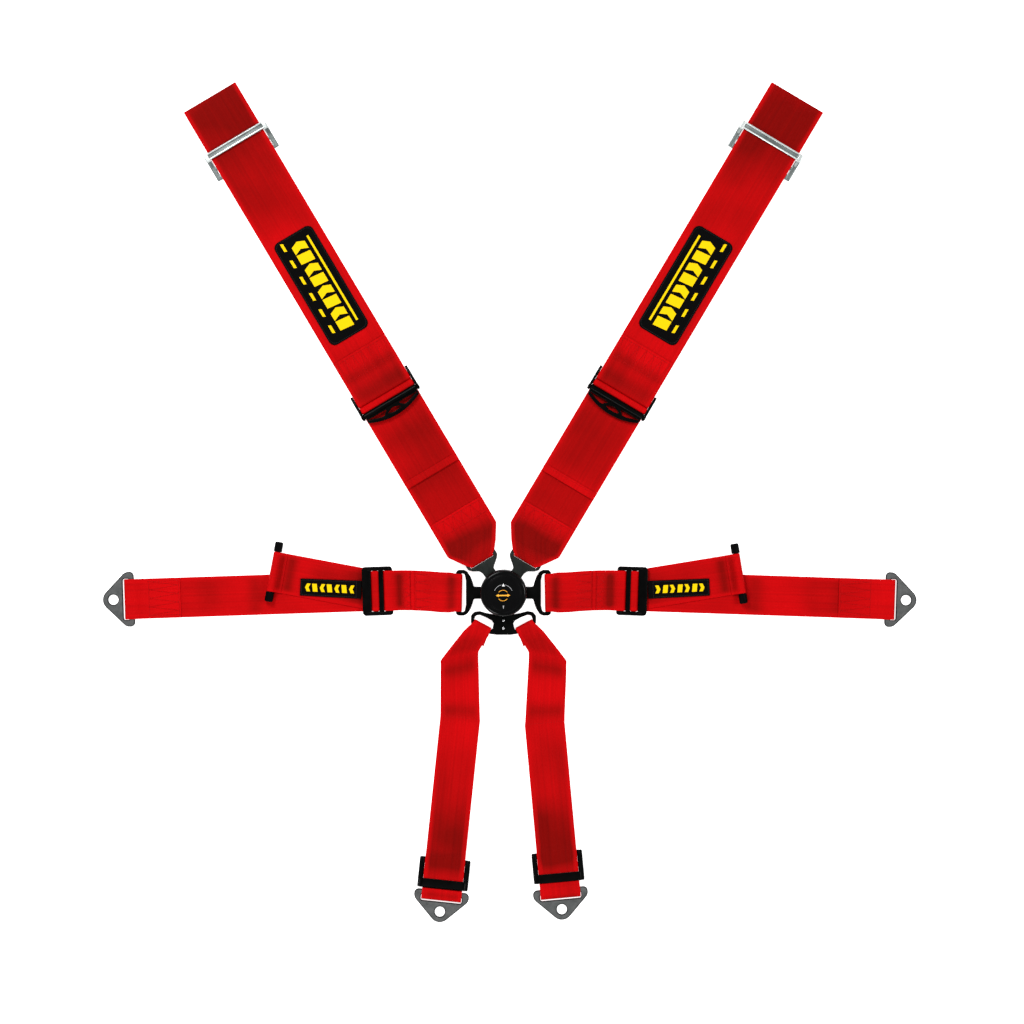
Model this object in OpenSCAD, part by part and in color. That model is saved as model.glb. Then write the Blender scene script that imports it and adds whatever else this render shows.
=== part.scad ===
// Six-point racing harness laid out flat: rotary-release buckle, two shoulder
// straps, two lap straps and two crotch straps. Millimetres, +Z up.
// Origin: centre of the buckle on its back face. +Y runs towards the shoulder
// ends, +X towards the right-hand lap strap.

/* [Webbing] */
// Width of the shoulder webbing (3 inch)
shoulder_w = 76.2; // [70:0.2:76.4]
// Width of the lap and crotch webbing (2 inch)
lap_w = 50.8; // [48:0.2:51]
// Thickness of one layer of webbing
web_t = 1.2; // [1:0.1:1.4]

/* [Buckle] */
// Radius of the buckle body
buckle_r = 29.5; // [29:0.5:31]
// Radius of the release knob
knob_r = 29.5; // [27:0.5:29.5]
// Width of a tongue's neck
neck_w = 15.5; // [12:0.5:15.5]
// Thickness of the steel tongues and of the crotch plate
tongue_t = 3; // [2.5:0.1:3.2]
// Lift of the latch ring when the knob is turned
latch_lift = 2.4; // [2:0.1:2.6]

/* [Shoulder straps] */
// Angle of each shoulder strap from straight up
shoulder_angle = 30.7; // [29:0.1:34]
// Angle of each shoulder tongue from straight up
tongue_angle = 34.8; // [33:0.1:36]
// Distance from the buckle's centre to the lever bar of the adjuster
shoulder_adjuster_at = 281; // [270:1:300]
// Distance to the free end of the left pull tail
tail_end_left = 174; // [160:1:190]
// Distance to the free end of the right pull tail
tail_end_right = 158; // [158:1:190]
// Length of the sewn name patch
patch_l = 150; // [120:1:150]
// Width of the sewn name patch
patch_w = 56; // [30:1:60]
// Distance to the near side of the three-bar slide
slide_at = 633; // [620:1:640]
// Distance to the upper end of the shoulder webbing
shoulder_l = 731; // [728:1:760]

/* [Lap straps] */
// Distance from the buckle's centre to the middle of the left adjuster
lap_adjuster_left = 159.6; // [155:0.1:170]
// Distance to the middle of the right adjuster
lap_adjuster_right = 162.9; // [155:0.1:170]
// Distance from the adjuster to the bolt hole of the left anchor plate
lap_run_left = 335.3; // [300:0.1:400]
// Distance from the adjuster to the bolt hole of the right anchor plate
lap_run_right = 347.8; // [300:0.1:400]
// Downward angle of the outer lap webbing
lap_droop = 1.9; // [0:0.1:4]
// Lean of the short lap web, so that it meets its adjuster
short_lean = 1.3; // [0:0.1:2]
// Distance from the left adjuster to its pull rod
rod_run_left = 133.5; // [131:0.1:150]
// Distance from the right adjuster to its pull rod
rod_run_right = 137.4; // [131:0.1:150]
// Angle of the left pull tail above its lap webbing
tail_turn_left = 12.5; // [4:0.1:14]
// Angle of the right pull tail above its lap webbing
tail_turn_right = 11.2; // [4:0.1:14]
// Length of the release tab
tab_l = 78; // [60:1:78]

/* [Crotch straps] */
// Outward angle of the left lower strap
crotch_lean_left = 6; // [3:0.1:8]
// Outward angle of the right lower strap
crotch_lean_right = 5.3; // [3:0.1:8]
// Distance below the buckle's centre of the left strap's second fold
crotch_knee_left = 160; // [150:1:170]
// Distance below the buckle's centre of the right strap's second fold
crotch_knee_right = 167; // [150:1:170]
// Distance from the second fold to the middle of the left adjuster
crotch_adjuster_left = 197.6; // [180:0.1:210]
// Distance from the second fold to the middle of the right adjuster
crotch_adjuster_right = 181.7; // [175:0.1:210]
// Distance from the left crotch adjuster to its bolt hole
crotch_run_left = 48.2; // [48:0.1:60]
// Distance from the right crotch adjuster to its bolt hole
crotch_run_right = 53.7; // [48:0.1:60]

/* [Anchor plates] */
// Width of an anchor plate across the webbing
plate_w = 69.6; // [66:0.2:72]
// Thickness of an anchor plate
plate_t = 3; // [2.5:0.1:3.2]
// Radius of the bolt hole
bolt_r = 6.4; // [5:0.1:6.5]

/* [Hidden] */
$fn = 64;
red = [0.72, 0.05, 0.05];
dark = [0.08, 0.08, 0.09];
steel = [0.62, 0.64, 0.63];
grey = [0.4, 0.4, 0.42];
yellow = [1, 0.88, 0];
gap = 0.3; // working gap between pieces that move past each other

// heights in the buckle, from its back face
cover_z = 3;
base_z = 6;
tongue_z = 8; // underside of the tongues
deck_z = 11.4;
deck_t = 1.2;
roof_z = 19.5;
knob_z = 21.5;
knob_h = 8.5;
latch_z = 13;
pin_r = 2.5;
pin_at = 17;
screw_at = 25.5;
spindle_r = 3.95;
run_fit = 0.05; // radial running clearance

// heights of the webbing layers, each at the layer's middle
lay1 = gap + web_t / 2; // on the floor
lay2 = 1.55 + web_t / 2; // sewn on top of lay1
tail_lay = 1.8 + web_t / 2; // free layer above lay1
up1 = 3.3 + web_t / 2; // layer that passes over two others
up2 = up1 + web_t + 0.05; // sewn on top of up1
under_bar = tongue_z - 0.7 - web_t / 2; // under a tongue's outer bar
over_bar = tongue_z + tongue_t + 0.7 + web_t / 2; // over a tongue's outer bar

tongue_angles = [90 + tongue_angle, 90 - tongue_angle, 180, 0];

// adjuster bars, over both layers of the webbing
bar_z = 4.8;
bar_h = 3.5;
loop_top = bar_z + bar_h + gap + web_t / 2;
rail_gap = 0.9; // side rail to webbing edge

// anchor plates, measured back from the bolt hole
tip = 13.4;
slot_near = 12.5;
slot_far = 20.5;
plate_back = 26.6;
loop_at = 14.6;

fold_angle = 62; // turn of the crotch plate's slots below the X axis
slot_mid = [25, -39.8];
fold_out = [80.2, -86.5];
fold_in = [31.8, -75];
knee_out = 25.2;
tab_turn = 4.5; // release tab, towards the tail's side
rod_r = 3.5;
cap_r = 5.3;
rod_l = 77;
rod_z = 1.8 + cap_r;

// ---- Shared shapes ----

function unit(v) = v / norm(v);
function across(v) = [-v[1], v[0]];
function pick(side, left, right) = side < 0 ? left : right;

// Point i of a line moved sideways by d, mitred at the corners
function moved(line, i, d) =
    let (
        last = len(line) - 1,
        before = unit(line[max(i, 1)] - line[max(i, 1) - 1]),
        after = unit(line[min(i + 1, last)] - line[min(i + 1, last) - 1]),
        normal = across(unit(before + after))
    )
    line[i] + normal * d / (normal * across(after));

// Closed outline of a layer of thickness t that follows a line
function band(line, t) = concat(
    [for (i = [0 : len(line) - 1]) moved(line, i, t / 2)],
    [for (i = [len(line) - 1 : -1 : 0]) moved(line, i, -t / 2)]
);

// A strap along +X: its side line is [distance, height]
module strap(line, width, t = web_t) {
    rotate([90, 0, 0])
        linear_extrude(width, center = true)
            polygon(band(line, t));
}

// A block from x0 to x1 and z0 to z1, centred across the strap
module bar(x0, x1, width, z0, z1) {
    translate([x0, -width / 2, z0]) cube([x1 - x0, width, z1 - z0]);
}

// A pair of side rails outside the webbing
module rails(x0, x1, inner, outer, z0, z1) {
    for (flip = [0, 1])
        mirror([0, flip, 0])
            translate([x0, inner, z0]) cube([x1 - x0, outer - inner, z1 - z0]);
}

module rounded(length, width, r) {
    square([length - 2 * r, width], center = true);
    square([length, width - 2 * r], center = true);
    for (x = [-1, 1], y = [-1, 1])
        translate([x * (length / 2 - r), y * (width / 2 - r)]) circle(r);
}

// A coil of round wire, swept ring by ring
module coil(radius, wire, pitch, turns) {
    steps = 12;
    sides = 6;
    rings = steps * turns;
    points = [
        for (i = [0 : rings], k = [0 : sides - 1])
            let (a = 360 * i / steps, b = 360 * k / sides, r = radius + wire * cos(b))
            [r * cos(a), r * sin(a), pitch * i / steps + wire * sin(b)]
    ];
    skin = [
        for (i = [0 : rings - 1], k = [0 : sides - 1])
            let (next = (k + 1) % sides)
            [i * sides + k, i * sides + next, (i + 1) * sides + next, (i + 1) * sides + k]
    ];
    ends = [
        [for (k = [sides - 1 : -1 : 0]) k],
        [for (k = [0 : sides - 1]) rings * sides + k]
    ];
    polyhedron(points, concat(skin, ends));
}

// The frames of the six arms: +X runs out along the strap
module shoulder_arm(side) {
    rotate([0, 0, 90 - side * shoulder_angle]) children();
}
module lap_arm(side) {
    mirror([1 - side, 0, 0]) children();
}
module lap_outer(side) {
    lap_arm(side)
        translate([pick(side, lap_adjuster_left, lap_adjuster_right), 2, 0])
            rotate([0, 0, -lap_droop]) children();
}
module lap_tail_arm(side) {
    lap_outer(side)
        rotate([0, 0, pick(side, tail_turn_left, tail_turn_right)]) children();
}
module crotch_arm(side) {
    mirror([1 - side, 0, 0])
        translate([knee_x(side), -pick(side, crotch_knee_left, crotch_knee_right), 0])
            rotate([0, 0, -90 + pick(side, crotch_lean_left, crotch_lean_right)])
                children();
}
function knee_x(side) = pick(side, 55, 52.3);
function crotch_mid(side) = pick(side, crotch_adjuster_left, crotch_adjuster_right);
function crotch_hole(side) =
    crotch_mid(side) + pick(side, crotch_run_left, crotch_run_right);
function lap_hole(side) = pick(side, lap_run_left, lap_run_right);

// ---- Buckle ----

module round_pillars(r, at, z0, z1) {
    for (a = [30, 90, 150, 222, 318])
        rotate([0, 0, a]) translate([at, 0, z0]) cylinder(r = r, h = z1 - z0);
}

// Moulded cover that lies against the wearer
module buckle_back_cover() {
    color(dark) difference() {
        cylinder(r = buckle_r - 1, h = cover_z);
        round_pillars(3.1, screw_at, -1, 1.6);
        round_pillars(1.6, screw_at, -1, cover_z + 1);
    }
}

// Steel plate that carries the spindle and the housing
module buckle_base_plate() {
    color(steel) difference() {
        translate([0, 0, cover_z]) cylinder(r = buckle_r - 1, h = base_z - cover_z);
        translate([0, 0, cover_z - 1]) cylinder(r = 4, h = 5);
        round_pillars(1.6, screw_at, cover_z - 1, base_z + 1);
    }
}

// Die-cast housing with a slot for each tongue and a deck that guides the pins
module buckle_housing() {
    top = knob_z - 0.5;
    deck_top = deck_z + deck_t;
    color(dark) difference() {
        rotate_extrude() polygon([
            [12.2, base_z], [buckle_r, base_z], [buckle_r, top], [7.2, top],
            [7.2, roof_z], [22, roof_z], [22, deck_top], [12.2, deck_top]
        ]);
        translate([0, 0, tongue_z - 0.4]) linear_extrude(tongue_t + 0.8) {
            circle(22.5);
            for (a = tongue_angles) rotate(a)
                translate([12, -neck_w / 2 - 0.5]) square([20, neck_w + 1]);
            translate([-12, -32]) square([24, 20]);
        }
        for (a = tongue_angles) rotate([0, 0, a])
            translate([pin_at, 0, deck_z - 1])
                cylinder(r = pin_r + run_fit, h = deck_t + 2);
        round_pillars(1.6, screw_at, base_z - 1, 12);
    }
}

// Screws that hold cover, plate and housing together
module housing_screws() {
    color(steel) {
        round_pillars(2.9, screw_at, 0.4, 1.6);
        round_pillars(1.5, screw_at, 1.6, 11.5);
    }
}

module centre_spindle() {
    color(steel) translate([0, 0, cover_z]) cylinder(r = spindle_r, h = 24.5);
}

// Plate that carries both crotch straps, pinned into the housing
module crotch_plate() {
    color(dark) translate([0, 0, tongue_z]) linear_extrude(tongue_t) difference() {
        union() {
            translate([-11.5, -40]) square([23, 26]);
            for (x = [-1, 1]) polygon([
                [0, -31], [x * 12, -31], [x * 21.7, -26], [x * 30, -23.5],
                [x * 37, -24.5], [x * 41, -29], [x * 41.5, -38.5],
                [x * 38.5, -42], [x * 18, -52.3], [x * 9, -53.3], [0, -53.6]
            ]);
        }
        for (side = [0, 1]) mirror([side, 0, 0])
            translate([slot_mid[0], slot_mid[1]]) rotate([0, 0, -fold_angle])
                translate([-1.7, 0]) rounded(8.6, 29.4, 2.5);
    }
}

// Riveted bar that locks the crotch plate to the housing
module crotch_lock_bar() {
    color(dark) {
        translate([-2.5, -48, tongue_z + tongue_t]) cube([5, 16, 1.6]);
        for (y = [-35, -45])
            translate([0, y, tongue_z + tongue_t + 1.6]) cylinder(r = 1.9, h = 0.9);
    }
}

// Ring with four pins that drop into the tongues
module latch_ring() {
    color(steel) {
        translate([0, 0, latch_z]) difference() {
            cylinder(r = 20.5, h = 1.8);
            translate([0, 0, -1]) cylinder(r = 12.6, h = 4);
        }
        for (a = tongue_angles) rotate([0, 0, a])
            translate([pin_at, 0, tongue_z + tongue_t + gap])
                cylinder(r = pin_r, h = latch_z - tongue_z - tongue_t - gap + 1);
    }
}

// Coil springs that press the ring down
module latch_springs() {
    wire = 0.4;
    low = latch_z + 1.8 + wire + 0.1;
    turns = 4;
    color(steel) for (a = tongue_angles) rotate([0, 0, a])
        translate([pin_at, 0, low])
            coil(2.2, wire, (roof_z - wire - 0.1 - low) / turns, turns);
}

// Cam keyed to the knob, which raises the ring
module cam_plate() {
    color(steel) translate([0, 0, latch_z]) difference() {
        union() {
            cylinder(r = 8, h = 4.4);
            for (a = [0, 120, 240]) rotate([0, 0, a])
                translate([0, -2.5, 0]) cube([11, 5, 1.8]);
        }
        translate([0, 0, -1]) cylinder(r = spindle_r + run_fit, h = 7);
    }
}

// Torsion spring in the knob's recess
module knob_spring() {
    color(steel) translate([0, 0, knob_z + 1]) coil(11.5, 0.6, 1.4, 2);
}

module release_knob() {
    color(dark) difference() {
        union() {
            translate([0, 0, knob_z]) cylinder(r = knob_r, h = knob_h - 3);
            translate([0, 0, knob_z + knob_h - 3])
                cylinder(r1 = knob_r, r2 = knob_r - 3, h = 3);
            translate([0, 0, latch_z + 4.4])
                cylinder(r = 6.8, h = knob_z - latch_z - 4.4);
        }
        translate([0, 0, latch_z]) cylinder(r = spindle_r + run_fit, h = 15);
        translate([0, 0, knob_z - 1]) difference() {
            cylinder(r = 14, h = 6);
            translate([0, 0, -1]) cylinder(r = 9, h = 8);
        }
    }
}

// ---- Shoulder straps ----

// Neck with a latch hole, from the buckle's middle outwards
module neck(end) {
    difference() {
        polygon([
            [14, -4], [20, -neck_w / 2], [end, -neck_w / 2],
            [end, neck_w / 2], [20, neck_w / 2], [14, 4]
        ]);
        translate([pin_at + 3, 0]) circle(pin_r + 0.4);
    }
}

// The head stays square to the webbing, the neck points to the buckle's middle
module shoulder_tongue(side) {
    color(dark) translate([0, 0, tongue_z]) linear_extrude(tongue_t) {
        rotate(90 - side * tongue_angle) neck(42);
        rotate(90 - side * shoulder_angle) mirror([0, 1 + side, 0])
            difference() {
                polygon([
                    [36, -8.5], [42.2, -15.2], [46.2, -18.5], [54.6, -18.4],
                    [56.9, -14], [56.9, 20], [54.5, 24], [47.5, 24],
                    [43.2, 20.5], [38.6, 12.3]
                ]);
                translate([48.6, 3]) rounded(5, 35, 2);
            }
    }
}

// Lower web: sewn round the tongue, then runs under the adjuster
module shoulder_lower_web(side) {
    half = shoulder_w / 2;
    color(red) shoulder_arm(side) intersection() {
        strap([
            [shoulder_adjuster_at + 54, lay1], [90, lay1], [62, under_bar],
            [48.6, under_bar], [48.6, over_bar], [62, over_bar],
            [97, lay2], [pick(side, 120, 114), lay2]
        ], shoulder_w);
        mirror([0, 1 + side, 0]) linear_extrude(60, center = true) polygon([
            [40, -13], [50, -13], [53, -18], [63, -26], [82, -half], [360, -half],
            [360, half], [74, half], [51, 22], [49.5, 19], [40, 19]
        ]);
    }
}

// Free tail with its rolled hem, on top of the lower web
module shoulder_tail(side) {
    end = pick(side, tail_end_left, tail_end_right);
    color(red) shoulder_arm(side) {
        strap([[end, tail_lay], [shoulder_adjuster_at + 7, tail_lay]], shoulder_w);
        strap([[end, tail_lay + web_t], [end + 9, tail_lay + web_t]], shoulder_w);
    }
}

module shoulder_adjuster_frame(side) {
    at = shoulder_adjuster_at;
    half = shoulder_w / 2;
    color(dark) shoulder_arm(side) {
        difference() {
            rails(at - 5.5, at + 30, half + rail_gap, half + 5, 3.6, 11);
            translate([at, 0, 7.4]) rotate([90, 0, 0])
                cylinder(r = 2.5 + run_fit, h = 100, center = true);
        }
        bar(at + 15.8, at + 22.5, shoulder_w + 2 * rail_gap, bar_z, bar_z + bar_h);
    }
}

// Bar that the lower web wraps round
module shoulder_adjuster_bar(side) {
    at = shoulder_adjuster_at;
    color(dark) shoulder_arm(side)
        translate([at + 8.2, 0, 6.2]) rotate([90, 0, 0])
            linear_extrude(shoulder_w + 2 * rail_gap, center = true)
                rounded(6, 3.6, 1.7);
}

// Lever with its turning bar; lifting it lets the webbing run
module shoulder_adjuster_lever(side) {
    at = shoulder_adjuster_at;
    half = shoulder_w / 2;
    color(dark) shoulder_arm(side) translate([at, 0, 7.4]) {
        rotate([90, 0, 0]) cylinder(r = 3.75, h = shoulder_w + 1, center = true);
        rotate([90, 0, 0]) cylinder(r = 2.5, h = 2 * half + 9.6, center = true);
        translate([0, 0, -1.5]) linear_extrude(2.6) difference() {
            intersection() {
                translate([52, 0]) circle(73.5);
                translate([-24, -half + 1]) square([24, 2 * half - 2]);
            }
            for (y = [-1, 1]) {
                translate([-8, y * 8]) polygon([[0, -5], [-8, 0], [0, 6]]);
                translate([-8, y * 22]) polygon([[0, -6], [-5, -4], [-2, 6], [0, 7]]);
            }
        }
    }
}

// Upper web: sewn round the adjuster, threaded through the slide, free at the end
module shoulder_upper_web(side) {
    at = shoulder_adjuster_at;
    turn = at + 13.4;
    raised = 3.6 + web_t / 2;
    color(red) shoulder_arm(side) strap([
        [shoulder_l, lay1], [shoulder_l - 17, raised], [slide_at - 35, raised],
        [slide_at - 73, lay1], [at + 169, lay1], [at + 124, up1],
        [turn, up1], [turn, loop_top], [at + 24, loop_top],
        [at + 42, up2], [at + 78, up2]
    ], shoulder_w);
}

module shoulder_patch(side) {
    at = shoulder_adjuster_at;
    start = at + 97;
    rise = web_t / 2 + 0.52;
    color(dark) shoulder_arm(side) strap([
        [start, up1 + rise], [at + 124, up1 + rise], [at + 169, lay1 + rise],
        [start + patch_l, lay1 + rise]
    ], patch_w, 1);
}

// Three-bar slide: two bars under the web and one over it
module shoulder_slide(side) {
    half = shoulder_w / 2;
    inner = half + rail_gap;
    color(steel) shoulder_arm(side) translate([slide_at, 0, 0]) {
        for (y = [-1, 1])
            translate([0, y * (inner + 2.25), 0])
                strap([[0, 1.8], [20, 1.8], [27, 6.7], [37, 6.7]], 4.5, 3);
        bar(0, 7, 2 * inner + 1, 0.3, 3.3);
        bar(13, 18, 2 * inner + 1, 0.3, 3.3);
        bar(28, 37, 2 * inner + 1, 5.2, 8.2);
    }
}

// ---- Lap straps ----

module lap_tongue(side) {
    color(dark) lap_arm(side) translate([0, 0, tongue_z])
        linear_extrude(tongue_t) difference() {
            union() {
                neck(41);
                polygon([
                    [39, -13.5], [41.6, -20.5], [45.8, -27], [50.5, -29],
                    [57.5, -29], [60, -26.5], [60, 26.5], [57.5, 29],
                    [50.5, 29], [45.8, 27], [41.6, 20.5], [39, 13.5]
                ]);
            }
            translate([51.4, 0]) rounded(5.2, 52.2, 2);
        }
}

// Short web: sewn round the tongue at one end and round the adjuster at the other
module lap_short_web(side) {
    at = pick(side, lap_adjuster_left, lap_adjuster_right);
    turn = at - 8.9;
    color(red) lap_arm(side) translate([52, 0, 0]) rotate([0, 0, short_lean])
        translate([-52, 0, 0]) strap([
            [112, up2], [92, up2], [62, over_bar], [52.8, over_bar],
            [52.8, under_bar], [62, under_bar], [84, up1], [turn, up1],
            [turn, loop_top], [at - 17, loop_top], [at - 28, up2], [118, up2]
        ], lap_w);
}

module lap_adjuster_frame(side) {
    half = lap_w / 2;
    color(dark) lap_outer(side) {
        rails(-19.5, 19.5, half + rail_gap, half + 5.6, 3.6, 9.4);
        bar(-15.8, -11.1, lap_w + 2 * rail_gap, bar_z, bar_z + bar_h);
        bar(-6.7, -2, lap_w + 2 * rail_gap, bar_z, bar_z + bar_h);
        bar(8.5, 19.5, lap_w + 2 * rail_gap, 3.6, 7.4);
    }
}

// Bar that the long web wraps round
module lap_adjuster_bar(side) {
    color(dark) lap_outer(side) translate([2.6, 0, 6.2]) rotate([90, 0, 0])
        linear_extrude(lap_w + 2 * rail_gap, center = true) rounded(6.4, 3.2, 1.5);
}

// Sewn tab that tips the adjuster open
module lap_release_tab(side) {
    root = 21.2;
    color(dark) lap_outer(side) translate([0, 0.6, 0]) rotate([0, 0, tab_turn])
        strap([[root, 5.6], [root + 5, up1], [root + tab_l, up1]], 23);
}

module lap_long_web(side) {
    end = lap_hole(side) - 39;
    color(red) lap_outer(side) {
        bar(-12, end, lap_w, gap, gap + web_t);
        bar(end - 46, end, lap_w, gap, gap + 2 * web_t);
    }
}

// End of the web, sewn round an anchor plate's strip; x is back from the hole
module web_loop(low, start, slope) {
    high = low + plate_t + 2 * gap + web_t;
    strap(concat(
        [[-start, low], [-loop_at, low], [-loop_at, high], [-plate_back - 1, high]],
        slope
    ), lap_w);
}

module lap_anchor_loop(side) {
    color(red) lap_outer(side) translate([lap_hole(side), 0, 0])
        web_loop(lay1, 35, [[-35, lay2]]);
}

// Rounded triangular plate with a web slot and a bolt hole
module anchor_plate(low) {
    back = -plate_back;
    wide = plate_w / 2;
    translate([0, 0, low]) linear_extrude(plate_t) difference() {
        union() {
            translate([back, -wide + 5]) square([12, plate_w - 10]);
            translate([back + 5, -wide]) square([4, plate_w]);
            for (y = [-1, 1]) {
                translate([back + 5, y * (wide - 5)]) circle(5);
                translate([back + 9, y * (wide - 5)]) circle(5);
            }
            polygon([
                [back + 10, -wide + 3], [back + 13, -wide + 2], [8.8, -10.1],
                [8.8, 10.1], [back + 13, wide - 2], [back + 10, wide - 3]
            ]);
            circle(tip);
        }
        circle(bolt_r);
        translate([-(slot_near + slot_far) / 2, 0])
            rounded(slot_far - slot_near, lap_w + 1.4, 2.5);
    }
}

module lap_anchor_plate(side) {
    color(grey) lap_outer(side) translate([lap_hole(side), 0, 0])
        anchor_plate(lay1 + web_t / 2 + gap);
}

// Pull tail, sewn round its rod
module lap_tail(side) {
    run = pick(side, rod_run_left, rod_run_right);
    sleeve = rod_r + run_fit + web_t;
    color(red) lap_tail_arm(side) {
        strap([
            [4, tail_lay], [run - 14, tail_lay], [run - 3.4, rod_z - 3.6]
        ], lap_w);
        translate([run, 0, rod_z]) rotate([90, 0, 0]) difference() {
            cylinder(r = sleeve, h = lap_w, center = true);
            cylinder(r = rod_r + run_fit, h = lap_w + 2, center = true);
        }
    }
}

// Steel rod with a moulded cap on each end
module lap_pull_rod(side) {
    run = pick(side, rod_run_left, rod_run_right);
    cap_l = (rod_l - lap_w - 1) / 2;
    color(dark) lap_tail_arm(side) translate([run, 0, rod_z]) rotate([90, 0, 0]) {
        cylinder(r = rod_r, h = rod_l - 2, center = true);
        for (turn = [0, 180]) rotate([turn, 0, 0])
            translate([0, 0, lap_w / 2 + 0.5]) cylinder(r = cap_r, h = cap_l);
    }
}

// ---- Crotch straps ----

// One web in three lengths: out of the plate, down, and out to the adjuster
module crotch_web(side) {
    knee_y = -pick(side, crotch_knee_left, crotch_knee_right);
    knee = knee_x(side);
    color(red) {
        mirror([1 - side, 0, 0]) {
            intersection() {
                translate([slot_mid[0], slot_mid[1], 0]) rotate([0, 0, -fold_angle])
                    strap([
                        [70, 1.6], [50, 1.6], [13, over_bar], [0.6, over_bar],
                        [0.6, under_bar], [12, under_bar], [26, 4.6]
                    ], 120);
                linear_extrude(40, center = true) polygon([
                    [43.5, -39.5], [36.3, -33.2], [14.7, -44.6], [16.5, -50.5],
                    fold_in, fold_out
                ]);
            }
            translate([0, 0, gap]) linear_extrude(web_t) polygon([
                fold_in, fold_out, [knee + knee_out, knee_y], [knee - knee_out, knee_y]
            ]);
        }
        crotch_arm(side) strap([[0, lay1], [crotch_mid(side) + 14, lay1]], 50);
    }
}

module crotch_adjuster_frame(side) {
    half = lap_w / 2;
    color(dark) crotch_arm(side) translate([crotch_mid(side), 0, 0]) {
        rails(-19.5, 19.5, half + rail_gap, half + 7, 1.8, 7.4);
        bar(-19.5, -12, lap_w + 2 * rail_gap, 1.8, 4.8);
        bar(8.5, 19.5, lap_w + 2 * rail_gap, 1.8, 4.8);
    }
}

module crotch_adjuster_bar(side) {
    color(dark) crotch_arm(side) translate([crotch_mid(side) - 1, 0, 3.6])
        rotate([90, 0, 0]) linear_extrude(lap_w + 2 * rail_gap, center = true)
            rounded(6, 3, 1.4);
}

module crotch_anchor_loop(side) {
    color(red) crotch_arm(side) translate([crotch_hole(side), 0, 0])
        web_loop(tail_lay, plate_back + 1, []);
}

module crotch_anchor_plate(side) {
    color(grey) crotch_arm(side) translate([crotch_hole(side), 0, 0])
        anchor_plate(tail_lay + web_t / 2 + gap);
}

// ---- One line for each piece ----

buckle_back_cover();
buckle_base_plate();
buckle_housing();
housing_screws();
centre_spindle();
crotch_plate();
crotch_lock_bar();
latch_ring();
latch_springs();
cam_plate();
knob_spring();
release_knob();
shoulder_tongue(-1);  // shoulder_tongue_left
shoulder_lower_web(-1);  // shoulder_lower_web_left
shoulder_tail(-1);  // shoulder_tail_left
shoulder_adjuster_frame(-1);  // shoulder_adjuster_frame_left
shoulder_adjuster_bar(-1);  // shoulder_adjuster_bar_left
shoulder_adjuster_lever(-1);  // shoulder_adjuster_lever_left
shoulder_upper_web(-1);  // shoulder_upper_web_left
shoulder_patch(-1);  // shoulder_patch_left
shoulder_slide(-1);  // shoulder_slide_left
shoulder_tongue(1);  // shoulder_tongue_right
shoulder_lower_web(1);  // shoulder_lower_web_right
shoulder_tail(1);  // shoulder_tail_right
shoulder_adjuster_frame(1);  // shoulder_adjuster_frame_right
shoulder_adjuster_bar(1);  // shoulder_adjuster_bar_right
shoulder_adjuster_lever(1);  // shoulder_adjuster_lever_right
shoulder_upper_web(1);  // shoulder_upper_web_right
shoulder_patch(1);  // shoulder_patch_right
shoulder_slide(1);  // shoulder_slide_right
lap_tongue(-1);  // lap_tongue_left
lap_short_web(-1);  // lap_short_web_left
lap_adjuster_frame(-1);  // lap_adjuster_frame_left
lap_adjuster_bar(-1);  // lap_adjuster_bar_left
lap_release_tab(-1);  // lap_release_tab_left
lap_long_web(-1);  // lap_long_web_left
lap_anchor_loop(-1);  // lap_anchor_loop_left
lap_anchor_plate(-1);  // lap_anchor_plate_left
lap_tail(-1);  // lap_tail_left
lap_pull_rod(-1);  // lap_pull_rod_left
lap_tongue(1);  // lap_tongue_right
lap_short_web(1);  // lap_short_web_right
lap_adjuster_frame(1);  // lap_adjuster_frame_right
lap_adjuster_bar(1);  // lap_adjuster_bar_right
lap_release_tab(1);  // lap_release_tab_right
lap_long_web(1);  // lap_long_web_right
lap_anchor_loop(1);  // lap_anchor_loop_right
lap_anchor_plate(1);  // lap_anchor_plate_right
lap_tail(1);  // lap_tail_right
lap_pull_rod(1);  // lap_pull_rod_right
crotch_web(-1);  // crotch_web_left
crotch_adjuster_frame(-1);  // crotch_adjuster_frame_left
crotch_adjuster_bar(-1);  // crotch_adjuster_bar_left
crotch_anchor_loop(-1);  // crotch_anchor_loop_left
crotch_anchor_plate(-1);  // crotch_anchor_plate_left
crotch_web(1);  // crotch_web_right
crotch_adjuster_frame(1);  // crotch_adjuster_frame_right
crotch_adjuster_bar(1);  // crotch_adjuster_bar_right
crotch_anchor_loop(1);  // crotch_anchor_loop_right
crotch_anchor_plate(1);  // crotch_anchor_plate_right
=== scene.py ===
import math

import bmesh
import bpy
from mathutils import Matrix, Vector


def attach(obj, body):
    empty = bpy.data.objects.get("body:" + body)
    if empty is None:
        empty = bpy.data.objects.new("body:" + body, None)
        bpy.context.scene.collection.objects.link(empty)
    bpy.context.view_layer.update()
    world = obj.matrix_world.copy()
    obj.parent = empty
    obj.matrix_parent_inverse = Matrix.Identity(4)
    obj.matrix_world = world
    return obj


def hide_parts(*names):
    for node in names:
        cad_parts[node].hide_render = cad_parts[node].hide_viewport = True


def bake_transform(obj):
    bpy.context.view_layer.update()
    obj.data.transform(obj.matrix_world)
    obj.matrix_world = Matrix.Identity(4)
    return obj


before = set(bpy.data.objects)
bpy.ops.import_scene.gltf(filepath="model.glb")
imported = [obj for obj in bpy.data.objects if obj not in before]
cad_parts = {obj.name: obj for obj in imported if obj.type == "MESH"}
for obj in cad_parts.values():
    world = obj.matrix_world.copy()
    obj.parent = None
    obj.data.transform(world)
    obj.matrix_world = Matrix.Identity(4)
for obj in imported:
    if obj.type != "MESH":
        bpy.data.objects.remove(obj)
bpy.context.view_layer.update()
stage = bpy.context.scene

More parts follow.
